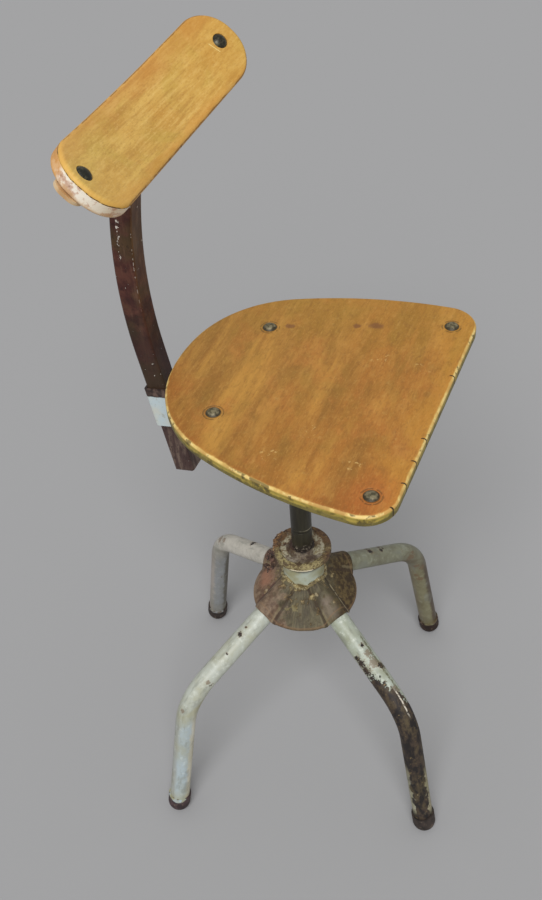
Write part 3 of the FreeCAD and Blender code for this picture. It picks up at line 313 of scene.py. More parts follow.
def legFinish(name, size):
    f = Finish(name)
    at = f.place()
    turn = (0, 0, size["turn"])
    out, side, high = f.parts(f.place(rotation=turn))
    above = high - (tube["top"] - tube["fall"] * out)  # over or under the sloping part's middle
    spoke = heading(size["turn"])
    edgeways = (out - tube["reach"] + high * tube["lean"]) * spoke.dot(toRight)
    edgeways = edgeways + side * spoke.orthogonal().dot(toRight)
    cloud = f.noise(at, 28.0, 4.0, 0.6)
    mottle = f.noise(at, 120.0, 4.0, 0.68)
    drawn = f.noise(f.place(rotation=turn, scale=(4.0, 1.0, 4.0)), 190.0, 4.0, 0.6)
    ragged = f.noise(at, 260.0, 4.0, 0.65)
    chips = wear(f, at, size["turn"] * 0.013)
    dirtAndShade = size["dirtAndShade"]
    upright = high.fall(*tube["bend"])
    paint = f.mix(upright, size["slope"], size["upright"])
    left, right = size["edges"]
    # painted light and shade: each upright's edges tinted as the camera sees them, one side lighter, one
    # darker
    edgeShadeAt = edgeways.shake(mottle, 0.01)
    paint = f.mix(upright * edgeShadeAt.fall(*tube["leftEdgeShade"]) * 0.8, paint, left)
    paint = f.mix(upright * edgeShadeAt.rise(*tube["rightEdgeShade"]) * 0.9, paint, right)
    paint = f.mix((cloud * 0.6 + mottle * 0.4).rise(0.36, 0.70) * size["share"], paint, dirtAndShade)
    paint = f.mix(drawn.rise(0.5, 0.66) * 0.45, paint, (122, 124, 114))
    paint = f.mix(mottle.fall(0.32, 0.45) * size["clean"], paint, (222, 224, 210))
    # painted shade: the underside of the sloping part darkened with the dirt colour
    under = above.shake(mottle, 0.01).fall(*tube["shadedUnderside"]) * (1.0 - upright)
    paint = f.mix(under * 0.7, paint, dirtAndShade)
    paint = f.mix(high.shake(mottle, 0.02).fall(*tube["muddy"]) * 0.4, paint, dirtAndShade)
    paint = f.mix(spots(f, at, ragged, size["stains"]) * 0.65, paint, (110, 84, 58))
    torn = f.noise(at, 560.0, 4.0, 0.65)
    marks = spots(f, at, torn, size["marks"])
    halo = spots(f, at, torn, [(point, reach * 1.5) for point, reach in size["marks"]])
    bare = (chips + out.rise(*tube["chipped"]) * 0.012).rise(0.685, 0.695).orMore(marks)
    edge = (chips.rise(0.645, 0.685) * 0.8).orMore(halo * 0.6)
    metal = f.mix(mottle.rise(0.45, 0.62), chipDark, (86, 62, 46))
    if "wornFrom" in size:  # the leg that feet have rubbed bare
        # paint kept along the edges between two heights and beside the slope, a worn line and a painted
        # highlight
        rub = {
            "soft": 0.003,
            "edge": (0.0088, 0.0104),
            "edgeTop": (0.1, 0.13),
            "edgeFoot": (0.028, 0.045),
            "strip": (0.0066, 0.0080),
            "stripEnd": (0.146, 0.158),
            "line": (0.0052, 0.0012, 0.0010),
            "lineRun": (0.135, 0.03, 0.01),
            "paintedHighlight": (0.0010, 0.0004, 0.0010),
            "paintedHighlightRun": (0.172, 0.018, 0.008),
        }
        tears = f.noise(at, 75.0, 5.0, 0.65)
        worn = f.noise(f.place(rotation=turn, scale=(2.6, 1.0, 2.6)), 150.0, 5.0, 0.68)
        reach = (out - side * 2.0).shake(tears, 0.07).shake(ragged, 0.05)
        rubbed = reach.rise(size["wornFrom"], size["wornFrom"] + rub["soft"])
        kept = abs(edgeways).shake(tears, 0.016).rise(*rub["edge"])
        kept = kept * high.fall(*rub["edgeTop"]) * high.rise(*rub["edgeFoot"]) * 0.75
        strip = side.shake(tears, 0.006).rise(*rub["strip"]) * out.fall(*rub["stripEnd"])
        kept = kept.orMore(strip).orMore((tears * 0.7 + ragged * 0.3).rise(0.64, 0.66) * 0.8)
        bare = bare.orMore(rubbed * (1.0 - kept * 0.9))
        line = side.shake(tears, 0.007).band(*rub["line"]) * out.band(*rub["lineRun"])
        paint = f.mix(line * ragged.rise(0.4, 0.5) * 0.8, paint, (92, 90, 56))
        metal = f.mix(worn.rise(0.4, 0.62), (30, 25, 24), (70, 57, 46))
        metal = f.wash(
            metal,
            ((worn * 0.6 + cloud * 0.4).rise(0.48, 0.64) * 0.45, 92, 82, 50),
            (mottle.rise(0.54, 0.64) * 0.5, 28, 23, 22),
            (ragged.rise(0.62, 0.7) * 0.6, 150, 128, 84),
        )
        # painted highlight: a thin pale streak of reflection along the bare metal
        paintedHighlight = side.shake(tears, 0.004).band(*rub["paintedHighlight"]) * out.band(*rub["paintedHighlightRun"])
        metal = f.mix(paintedHighlight * ragged.rise(0.36, 0.5), metal, (212, 204, 188))
    base = f.mix(edge * 0.65, paint, (140, 112, 76))
    base = f.mix(bare, base, metal)
    return f.done(
        Base_Color=base,
        Roughness=0.34 + cloud * 0.14 + bare * 0.22,
        Normal=f.bump((1.0 - bare) + mottle * 0.3 + drawn * 0.15, 0.0006),
        Specular_IOR_Level=0.4,
    )


def ferruleFinish(name, size):
    f = Finish(name)
    at = f.place()
    middle = (heading(size["turn"]) * tube["reach"]).to_3d()
    across, along, high = f.parts(f.place(middle))
    facing, level, dip = size["lap"]
    lap = f.calc("ARCTAN2", along, across) - math.radians(facing - 360.0)
    ragged = f.noise(at, 170.0, 4.0, 0.6)
    dust = f.noise(at, 70.0, 4.0, 0.6)
    # the leg's paint runs down over the top of the foot
    run = (lap.calc("COSINE").rise(0.55, 1.0) * dip).shake(ragged, 0.005) + level
    paint = (high + run).rise(tube["foot"] - 0.0004, tube["foot"] + 0.0006)
    dark = [part * 0.62 for part in size["rubber"]]
    rubber = f.mix(dust.rise(0.4, 0.65), dark, size["rubber"])
    rubber = f.mix(ragged.rise(0.56, 0.68) * 0.5, rubber, (124, 108, 92))
    white = f.mix(dust.rise(0.4, 0.62), size["upright"], size["dirtAndShade"])
    white = f.mix(ragged.rise(0.56, 0.6) * 0.8, white, (92, 76, 64))
    grit = f.noise(at, 420.0, 3.0)
    return f.done(
        Base_Color=f.mix(paint, rubber, white),
        Roughness=0.66 - paint * 0.24,
        Normal=f.bump(paint + grit * 0.3 * (1.0 - paint) + ragged * 0.3, 0.0006),
        Specular_IOR_Level=0.35,
    )


def neckFinish():
    size = {"rust": (0.3040, 0.3085), "collarShadow": (0.3255, 0.3315)}
    f = Finish("neckPaint")
    at = f.place()
    high = f.parts(at)[2]
    ragged = f.noise(at, 95.0, 5.0, 0.62)
    mottle = f.noise(at, 150.0, 4.0, 0.65)
    cloud = f.noise(at, 34.0, 3.0)
    rusted = high.shake(ragged, 0.018).fall(*size["rust"])
    paint = f.mix(cloud.rise(0.4, 0.65), (180, 188, 174), (160, 158, 124))
    paint = f.mix(mottle.rise(0.55, 0.7) * 0.5, paint, (150, 142, 110))
    # painted shadow: a dark band on the neck just under the collar
    paint = f.mix(high.shake(ragged, 0.003).rise(*size["collarShadow"]) * 0.9, paint, (42, 35, 30))
    rust = f.mix(ragged.rise(0.4, 0.65), (100, 86, 56), (168, 150, 104))
    bare = wear(f, at, 3.0).rise(0.67, 0.69)
    base = f.mix(bare, f.mix(rusted, paint, rust), chipDark)
    return f.done(
        Base_Color=base,
        Roughness=0.34 + rusted * 0.4,
        Normal=f.bump(ragged * rusted - bare * 0.4 + mottle * 0.15, 0.0012),
        Specular_IOR_Level=0.4,
    )


def coverFinish():
    size = {
        "rim": 0.0655,
        "ridge": 0.0080,
        "valley": 0.0104,
        "spread": 0.12,
        "turn": legs["leg_rear_left"]["turn"],
        "olive": (-0.046, -0.024),
        "brown": (0.022, 0.040),
        "redCrease": (0.0172, 0.0014, 0.0020),
        "redFrom": (0.030, 0.036),
        "paleFold": (-0.0150, 0.0005, 0.0007),
        "paleFrom": (-0.034, -0.030),
    }
    brick = (((-0.0148, 0.0494, 0.2849), 0.013), ((0.0020, 0.0560, 0.2800), 0.010))
    pale = (
        ((0.0043, 0.0518, 0.2845), 0.0034),
        ((-0.0311, 0.0413, 0.2848), 0.0046),
        ((-0.0220, 0.0305, 0.3001), 0.0030),
        ((-0.0281, -0.0266, 0.2988), 0.0028),
        ((-0.0266, -0.0495, 0.2928), 0.0024),
        ((-0.0340, 0.0020, 0.3010), 0.0024),
    )
    mauve = (((-0.0367, -0.0479, 0.2884), 0.011), ((-0.0290, -0.0400, 0.2930), 0.008))
    golden = (((-0.0473, -0.0058, 0.2892), 0.007), ((-0.0500, 0.0040, 0.2850), 0.004))
    scabs = (((0.0200, 0.0520, 0.2960), 0.014), ((0.0090, 0.0450, 0.2920), 0.008))
    f = Finish("coverPaint")
    at = f.place()
    across, along = f.parts(at)[:2]
    out, side = f.parts(f.place(rotation=(0, 0, size["turn"])))[:2]
    reach = f.flat(across, along)
    toLeft = along * -toRight.y - across * toRight.x
    ragged = f.noise(at, 75.0, 5.0, 0.65)
    cloud = f.noise(at, 36.0, 3.0, 0.5, 0.6)
    mottle = f.noise(at, 170.0, 4.0, 0.68)
    grit = f.noise(at, 460.0, 3.0)
    lap = f.calc("ARCTAN2", along, across)
    rays = f.noise(f.make("ShaderNodeCombineXYZ", {}, {0: lap * 9.0, 1: reach * 22.0}), 2.4, 4.0, 0.6)
    base = f.mix(cloud.rise(0.36, 0.62), (70, 62, 45), (97, 90, 67))
    base = f.mix(rays.rise(0.48, 0.64) * 0.5, base, (118, 107, 80))
    base = f.mix(mottle.rise(0.5, 0.64) * 0.5, base, (64, 50, 36))
    # olive on the camera's right and lighter brown on its left: rust colours, partly painted shade and
    # painted light
    olive = f.mix(mottle.rise(0.42, 0.62), (60, 45, 27), (96, 80, 49))
    base = f.mix(toLeft.shake(ragged, 0.05).fall(*size["olive"]), base, olive)
    brown = f.mix((mottle * 0.5 + cloud * 0.5).rise(0.42, 0.62), (132, 112, 91), (91, 70, 55))
    base = f.mix(toLeft.shake(ragged, 0.07).rise(*size["brown"]), base, brown)
    for point, reached in brick:
        soft = f.far(at, point).shake(cloud, 0.02).fall(reached * 0.3, reached * 1.5)
        base = f.mix(soft * 0.75, base, (156, 110, 86))
    for point, reached in mauve:
        soft = f.far(at, point).shake(ragged, 0.02).fall(reached * 0.3, reached * 1.4)
        base = f.mix(soft * 0.45, base, (130, 114, 102))
    red = out.shake(ragged, 0.008).band(*size["redCrease"]) * side.rise(*size["redFrom"])
    base = f.mix(red * 0.7, base, (92, 56, 50))
    base = f.mix(spots(f, at, ragged, golden) * 0.5, base, (140, 128, 84))
    # ridges lighter, partly rubbed paint and partly painted highlight, and valleys darkened with painted
    # shade, along the channels
    for offset, run in ((out, side), (side, out)):
        broken = (abs(offset) - abs(run) * size["spread"]).shake(ragged, 0.004)
        base = f.mix(broken.band(size["valley"], 0.0008, 0.0012) * 0.7, base, (58, 44, 32))
        ridge = broken.band(size["ridge"], 0.0004, 0.0010) * cloud.rise(0.46, 0.56)
        base = f.mix(ridge * 0.35, base, (148, 136, 104))
    fold = side.shake(ragged, 0.002).band(*size["paleFold"]) * out.fall(*size["paleFrom"])
    base = f.mix(fold * mottle.rise(0.34, 0.46) * 0.8, base, (186, 172, 136))
    # what is left of the pale paint, most of it by the neck
    flakes = (ragged * 0.5 + mottle * 0.5 - reach * 2.4).rise(0.45, 0.49).orMore(spots(f, at, ragged, pale))
    flake = f.mix(mottle.rise(0.44, 0.58), (186, 170, 134), (140, 116, 76))
    base = f.mix(flakes * 0.5, base, flake)
    scab = f.mix(mottle.rise(0.5, 0.62), (62, 42, 32), (170, 140, 112))
    base = f.mix(spots(f, at, ragged, scabs) * 0.85, base, scab)
    rust = (ragged - reach * 9.0).rise(0.24, 0.32)
    base = f.mix(rust * 0.85, base, f.mix(mottle.rise(0.4, 0.6), (96, 82, 54), (172, 156, 112)))
    rim = reach.rise(size["rim"] - 0.0014, size["rim"] - 0.0004)
    rim = rim * reach.fall(size["rim"], size["rim"] + 0.0008)
    base = f.mix(rim * 0.5, base, (128, 100, 72))
    return f.done(
        Base_Color=base,
        Roughness=0.5 + ragged * 0.25,
        Normal=f.bump(ragged * 0.7 + mottle * 0.6 + grit * 0.2 + flakes * 0.4, 0.0015),
        Specular_IOR_Level=0.35,
    )


def collarFinish():
    # heights of its underside and lip, and distances from the pillar
    size = {
        "under": 0.3415,
        "lip": 0.3430,
        "rim": 0.0290,
        "bore": 0.0160,
        "shade": (0.019, 0.021),
        "edge": (0.034, 0.0348),
    }
    f = Finish("collarIron")
    at = f.place()
    across, along, high = f.parts(at)
    reach = f.flat(across, along)
    toLeft = along * -toRight.y - across * toRight.x
    toFront = across * toRight.y - along * toRight.x
    ragged = f.noise(at, 110.0, 5.0, 0.65)
    grit = f.noise(at, 330.0, 4.0, 0.65)
    cloud = f.noise(at, 62.0, 3.0)
    rust = f.mix(ragged.rise(0.42, 0.6), (74, 53, 40), (112, 84, 56))
    rust = f.mix(grit.rise(0.52, 0.62) * 0.6, rust, (142, 118, 76))
    gold = f.mix((grit * 0.6 + cloud * 0.4).rise(0.44, 0.6), (100, 83, 52), (172, 158, 112))
    gold = f.mix(ragged.rise(0.5, 0.6) * 0.8, gold, (72, 53, 40))
    cream = f.mix((grit * 0.6 + ragged * 0.4).rise(0.46, 0.58), (190, 184, 158), (118, 98, 74))
    grey = f.mix(ragged.rise(0.44, 0.6), (124, 112, 104), (84, 70, 62))
    # brown outside at the back, gold in front, cream inside, greyish before the pillar
    base = f.mix(toFront.shake(ragged, 0.04).rise(-0.006, 0.010), rust, gold)
    base = f.mix(toLeft.shake(ragged, 0.03).fall(-0.030, -0.018) * toFront.rise(0.0, 0.016), base, rust)
    inner = reach.shake(ragged, 0.02).fall(size["rim"] - 0.004, size["rim"])
    base = f.mix(inner * (cloud + abs(toLeft) * 6.0).rise(0.54, 0.66) * 0.85, base, cream)
    base = f.mix(inner * toFront.shake(ragged, 0.02).rise(0.010, 0.015) * 0.7, base, grey)
    grease = reach.shake(ragged, 0.008).fall(size["bore"] - 0.0014, size["bore"] + 0.0006)
    base = f.mix(grease, base, f.mix(grit.rise(0.52, 0.64), (44, 36, 32), (110, 96, 84)))
    shade = (toLeft - toFront * 0.3).shake(ragged, 0.01).rise(0.004, 0.010)
    shade = shade * reach.shake(ragged, 0.006).fall(*size["shade"])
    base = f.mix(shade * 0.8, base, (70, 48, 38))
    # painted highlight: a thin pale line along the front of the lip
    lip = high.shake(ragged, 0.0008).band(size["lip"], 0.0006, 0.0006) * reach.rise(*size["edge"])
    lip = lip * toLeft.shake(cloud, 0.04).band(0.006, 0.012, 0.004)
    base = f.mix(lip, base, (226, 214, 184))
    # painted shadow: the bottom of the collar's edge darkened where it stands over the neck
    base = f.mix(high.shake(grit, 0.0008).fall(size["under"], size["under"] + 0.0008), base, shadowDark)
    return f.done(
        Base_Color=base,
        Roughness=0.62 - grease * 0.2,
        Normal=f.bump(ragged * 1.2 + grit * 0.7, 0.0019),
        Specular_IOR_Level=0.4,
    )


def pillarFinish():
    # a bright ring and a dark one, and the greasy foot that stands on the collar
    size = {"ring": 0.3885, "mark": 0.3850, "foot": (0.359, 0.364), "collar": (0.345, 0.352)}
    f = Finish("pillarSteel")
    at = f.place()
    high = f.parts(at)[2]
    streak = f.noise(f.place(scale=(1.0, 1.0, 9.0)), 170.0, 3.0)
    smear = f.noise(at, 48.0, 4.0, 0.6)
    grit = f.noise(at, 240.0, 4.0, 0.65)
    base = f.mix(streak.rise(0.34, 0.76), (48, 44, 34), (70, 66, 50))
    base = f.mix(smear.rise(0.48, 0.68) * 0.5, base, (66, 62, 48))
    ring = high.shake(smear, 0.0016).band(size["ring"], 0.0003, 0.0005)
    mark = high.shake(smear, 0.0012).band(size["mark"], 0.0004, 0.0005)
    base = f.mix(ring * smear.rise(0.42, 0.56) * 0.7, base, (182, 174, 146))
    base = f.mix(mark * 0.6, base, (24, 21, 19))
    foot = high.shake(smear, 0.016).fall(*size["foot"]) * high.rise(*size["collar"])
    base = f.mix(foot, base, f.mix(grit.rise(0.54, 0.62), (50, 43, 37), (150, 140, 124)))
    return f.done(
        Base_Color=base,
        Metallic=0.45 - foot * 0.3,
        Roughness=0.32 + smear * 0.2,
        Normal=f.bump(streak * 0.15 + ring * 0.5 - mark * 0.6 + foot * grit, 0.0007),
    )


def sleeveFinish():
    size = {"middle": (0, 0.1591, 0.5415), "lean": -9.5, "dark": 0.0160}
    f = Finish("sleevePaint")
    at = f.place()
    along = f.parts(f.place(size["middle"], (size["lean"], 0, 0)))[2]
    ragged = f.noise(at, 120.0, 5.0, 0.62)
    cloud = f.noise(at, 36.0, 3.0)
    mottle = f.noise(at, 160.0, 4.0, 0.65)
    dark = along.shake(ragged, 0.004).rise(size["dark"], size["dark"] + 0.0008)
    paint = f.mix(cloud.rise(0.4, 0.7), (190, 204, 208), (200, 202, 192))
    paint = f.mix(mottle.rise(0.56, 0.7) * 0.5, paint, (160, 160, 148))
    bare = wear(f, at, 5.0).rise(0.67, 0.685)
    base = f.mix(bare, paint, (92, 70, 60))
    brown = f.mix(ragged.rise(0.4, 0.65), (48, 35, 32), (104, 84, 74))
    return f.done(
        Base_Color=f.mix(dark, base, brown),
        Roughness=0.34 + dark * 0.35,
        Normal=f.bump((1.0 - bare) * 0.4 + dark * (0.5 + ragged), 0.0013),
        Specular_IOR_Level=0.4,
    )


def postFinish():
    # the bow's middle, the face nearest the sitter on it, the chipped line on its left side, and heights
    size = {
        "y": -0.4010,
        "z": 0.7077,
        "front": 0.5673,
        "arris": (-0.0121, -0.0114),
        "left": (-0.0125, -0.0120),
        "line": 0.5832,
        "lineHigh": 0.775,
        "pale": (0.66, 0.76),
        "dark": (0.64, 0.70),
        "tail": (0.50, 0.525),
    }
    f = Finish("postPaint")
    at = f.place()
    across, along, high = f.parts(at)
    bow = f.flat(along - size["y"], high - size["z"])
    ragged = f.noise(at, 62.0, 5.0, 0.62)
    mottle = f.noise(at, 190.0, 4.0, 0.65)
    streak = f.noise(f.place(scale=(1.0, 1.0, 6.0)), 150.0, 4.0, 0.6)
    cloud = f.noise(at, 19.0, 3.0)
    base = f.mix(ragged.rise(0.38, 0.62), (70, 38, 34), (92, 56, 46))
    base = f.wash(
        base,
        (cloud.rise(0.45, 0.62) * 0.7, 80, 66, 40),
        (streak.rise(0.52, 0.68) * 0.4, 112, 84, 66),
        (mottle.rise(0.56, 0.68) * 0.5, 40, 26, 24),
    )
    front = bow.fall(size["front"] + 0.0002, size["front"] + 0.0010)
    front = front * high.shake(ragged, 0.1).rise(*size["pale"])
    facing = f.mix(streak.rise(0.4, 0.6), (92, 68, 48), (116, 90, 66))
    base = f.mix(front * 0.7, base, facing)
    base = f.mix(high.shake(ragged, 0.12).fall(*size["dark"]) * 0.6, base, (40, 30, 26))
    tail = f.mix(streak.rise(0.4, 0.62), (78, 60, 56), (122, 104, 92))
    tail = f.mix(mottle.rise(0.52, 0.64) * 0.6, tail, (48, 36, 34))
    base = f.mix(high.shake(streak, 0.05).fall(*size["tail"]) * 0.85, base, tail)
    broken = f.noise(at, 230.0, 2.0, 0.5)
    gaps = f.noise(at, 42.0, 2.0).rise(0.44, 0.5)
    dots = f.noise(at, 300.0, 3.0, 0.6).rise(0.53, 0.57)
    arris = across.fall(*size["arris"]) * bow.fall(size["front"] + 0.0007, size["front"] + 0.0013)
    line = across.fall(*size["left"]) * bow.shake(broken, 0.008).band(size["line"], 0.0010, 0.0004)
    line = line * high.band(size["lineHigh"], 0.035, 0.006)
    chips = (arris * broken.rise(0.54, 0.58) * gaps * high.rise(0.66, 0.74)).orMore(line * dots)
    chips = chips.orMore((mottle * 0.5 + broken * 0.5).rise(0.655, 0.67) * 0.7)
    base = f.mix(chips, base, (226, 218, 206))
    return f.done(
        Base_Color=base,
        Roughness=0.34 + ragged * 0.2,
        Normal=f.bump(streak * 0.35 + ragged * 0.4 + mottle * 0.25 - chips * 0.5, 0.0009),
        Specular_IOR_Level=0.22,
    )


seatBolts = ((0.1406, -0.1353), (0.0775, 0.058))  # front and rear pair, across and along


def seatFinish():
    # heights and places on the board, across and along; stains with their size
    size = {
        "top": 0.614,
        "low": (0.6035, 0.6065),
        "under": (0.6003, 0.6006),
        "front": -0.1615,
        "round": (0.1739, 0.2143, -0.08),
        "plies": 1500.0,
        "bolts": seatBolts,
        "nicks": (-0.0461, -0.0804, -0.113, -0.1467, 0.058),
        "stains": ((0.1165, -0.0548, 0.0085), (0.1094, -0.0348, 0.005), (0.0864, 0.037, 0.005)),
        "flecks": (
            (0.0630, -0.0765),
            (0.0609, -0.127),
            (-0.116, -0.021),
            (-0.0737, -0.0495),
            (-0.1044, -0.1045),
        ),
    }
    f = Finish("seatWood")
    at = f.place()
    across, along, high = f.parts(at)
    wide = f.noise(f.place(scale=(7.0, 1.0, 1.0)), 62.0, 5.0, 0.62, 0.5)
    broad = f.noise(f.place((0.2, 0.1, 0), (0, 0, 4), (5.0, 1.0, 1.0)), 30.0, 4.0, 0.58, 0.4)
    thin = f.noise(f.place(scale=(16.0, 1.0, 1.0)), 330.0, 4.0, 0.62)
    mottle = f.noise(f.place(scale=(2.0, 1.0, 1.0)), 150.0, 4.0, 0.65)
    cloud = f.noise(at, 12.0, 3.0, 0.5, 0.6)
    patch = f.noise(f.place((0.31, 0.17, 0), (0, 0, 10), (1.6, 1.0, 1.0)), 26.0, 4.0, 0.6)
    base = f.mix(wide.rise(0.36, 0.64), (174, 128, 58), (162, 114, 50))
    warm = ((cloud - 0.5) * 0.3 - along).rise(-0.06, 0.1)
    base = f.wash(
        base,
        (warm * 0.5, 176, 110, 44),
        (broad.rise(0.48, 0.64) * 0.6, 138, 96, 40),
        (broad.fall(0.34, 0.48) * 0.55, 204, 150, 68),
    )
    glow = f.noise(f.place((0.7, 0.4, 0), (0, 0, 24), (1.3, 1.0, 1.0)), 24.0, 4.0, 0.6)
    base = f.wash(
        base,
        (glow.rise(0.5, 0.66) * 0.4, 184, 116, 54),
        (patch.rise(0.5, 0.66) * 0.35, 146, 112, 46),
        (patch.fall(0.34, 0.47) * 0.3, 198, 146, 72),
    )
    # yellower on the left, burnt along the right rim, golden along the front
    yellow = across.shake(broad, 0.3).rise(0.03, 0.16)
    base = f.mix(yellow * 0.45, base, (168, 126, 46))
    half, deep, middle = size["round"]
    nearRim = f.flat(across / half, (along - middle).orMore(0.0) / deep).shake(glow, 0.3)
    base = f.mix(nearRim.rise(0.86, 1.0) * across.fall(-0.05, 0.02) * 0.5, base, (150, 84, 32))
    base = f.mix(along.shake(glow, 0.1).fall(-0.155, -0.125) * 0.4, base, (206, 148, 58))
    boltAcross, boltAlong = size["bolts"][0]
    hot = f.flat(across + boltAcross, along - boltAlong).shake(glow, 0.06)
    base = f.wash(
        base,
        (hot.fall(0.015, 0.045) * 0.45, 184, 98, 44),
        (mottle.rise(0.52, 0.66) * 0.28, 130, 88, 42),
        (mottle.fall(0.34, 0.46) * 0.25, 196, 144, 72),
        (thin.rise(0.52, 0.7) * 0.14, 116, 76, 36),
        (thin.fall(0.32, 0.46) * 0.14, 204, 154, 82),
    )
    pores = f.noise(f.place(scale=(2.5, 1.0, 1.0)), 620.0, 3.0, 0.6)
    base = f.mix(pores.rise(0.54, 0.68) * 0.24, base, (112, 76, 36))
    base = f.mix(pores.fall(0.3, 0.44) * 0.22, base, (212, 162, 88))
    mirrored = abs(across)
    prints = 0.0
    shadedPits = 0.0
    for boltAcross, boltAlong in size["bolts"]:
        gap = f.flat(mirrored - boltAcross, along - boltAlong).shake(patch, 0.004)
        prints = prints + gap.band(0.0106, 0.0004, 0.0008) * mottle.rise(0.4, 0.5)
        shadedPits = shadedPits + gap.fall(0.0078, 0.0092)
    # pressed prints round the bolts, and painted shade in the recesses round their heads
    base = f.mix((prints * 0.5 + shadedPits * 0.6).orLess(1.0), base, (84, 68, 36))
    for spotAcross, spotAlong, spotSize in size["stains"]:
        gap = f.flat(across - spotAcross, (along - spotAlong) * 0.8).shake(mottle, 0.012)
        base = f.mix(gap.fall(spotSize * 0.35, spotSize) * 0.6, base, (104, 62, 46))
    flecks = 0.0
    for spotAcross, spotAlong in size["flecks"]:
        flecks = flecks + f.flat(across - spotAcross, along - spotAlong).fall(0.006, 0.014)
    flecks = flecks.orLess(1.0) * f.noise(at, 210.0, 3.0, 0.6).rise(0.58, 0.66)
    base = f.mix(flecks * 0.55, base, (224, 186, 116))
    # the rim: the arris worn pale with a painted highlight on it, ply and chips below it
    run = f.noise(f.place(scale=(1.0, 1.0, 8.0)), 46.0, 4.0, 0.6)
    ragged = f.noise(at, 95.0, 5.0, 0.62)
    arris = high.shake(ragged, 0.0014).fall(size["top"] - 0.0010, size["top"] - 0.0001)
    base = f.mix(arris * (0.45 + 0.5 * run.rise(0.4, 0.55)), base, (230, 198, 118))
    # painted highlight: a brighter line along the rounded arris
    arrisHighlight = high.band(size["top"] - 0.0019, 0.0004, 0.0007) * (run * 0.6 + ragged * 0.4).rise(0.47, 0.55)
    base = f.mix(arrisHighlight * 0.8, base, (238, 214, 146))
    grime = arris * (run * 0.5 + ragged * 0.5).rise(0.54, 0.58)
    base = f.mix(grime * 0.8, base, (100, 82, 40))
    side = high.shake(ragged, 0.002).fall(size["top"] - 0.0042, size["top"] - 0.0030)
    edge = f.mix(ragged.rise(0.42, 0.62), (178, 156, 72), (140, 122, 54))
    ply = (high * size["plies"]).calc("SINE").rise(0.55, 0.9)
    edge = f.mix(ply * 0.35, edge, (104, 92, 46))
    base = f.mix(side, base, edge)
    low = high.shake(run, 0.016).fall(*size["low"]) * side
    base = f.mix(low * 0.75, base, f.mix(ragged.rise(0.4, 0.6), (70, 70, 40), (128, 116, 66)))
    chips = (run * 0.5 + ragged * 0.5 + (size["top"] - high) * 8.0).rise(0.57, 0.69) * side
    base = f.mix(chips * 0.85, base, (92, 83, 48))
    nicks = 0.0
    for spot in size["nicks"]:
        nicks = nicks + abs(across - spot + (along - size["front"]) * 0.3).fall(0.0004, 0.0010)
    nicks = (nicks * along.fall(size["front"] + 0.0042, size["front"] + 0.006)).orLess(1.0)
    base = f.mix(nicks, base, (58, 44, 26))
    base = f.mix(high.fall(*size["under"]) * 0.4, base, (134, 96, 52))
    height = thin * 0.2 + wide * 0.2 + mottle * 0.3 - (prints + shadedPits) * 0.7 - chips * 1.4 - nicks * 1.5
    return f.done(
        Base_Color=base,
        Roughness=0.42 + mottle * 0.2,
        Normal=f.bump(height + flecks * 0.3, 0.0006),
        Specular_IOR_Level=0.3,
    )


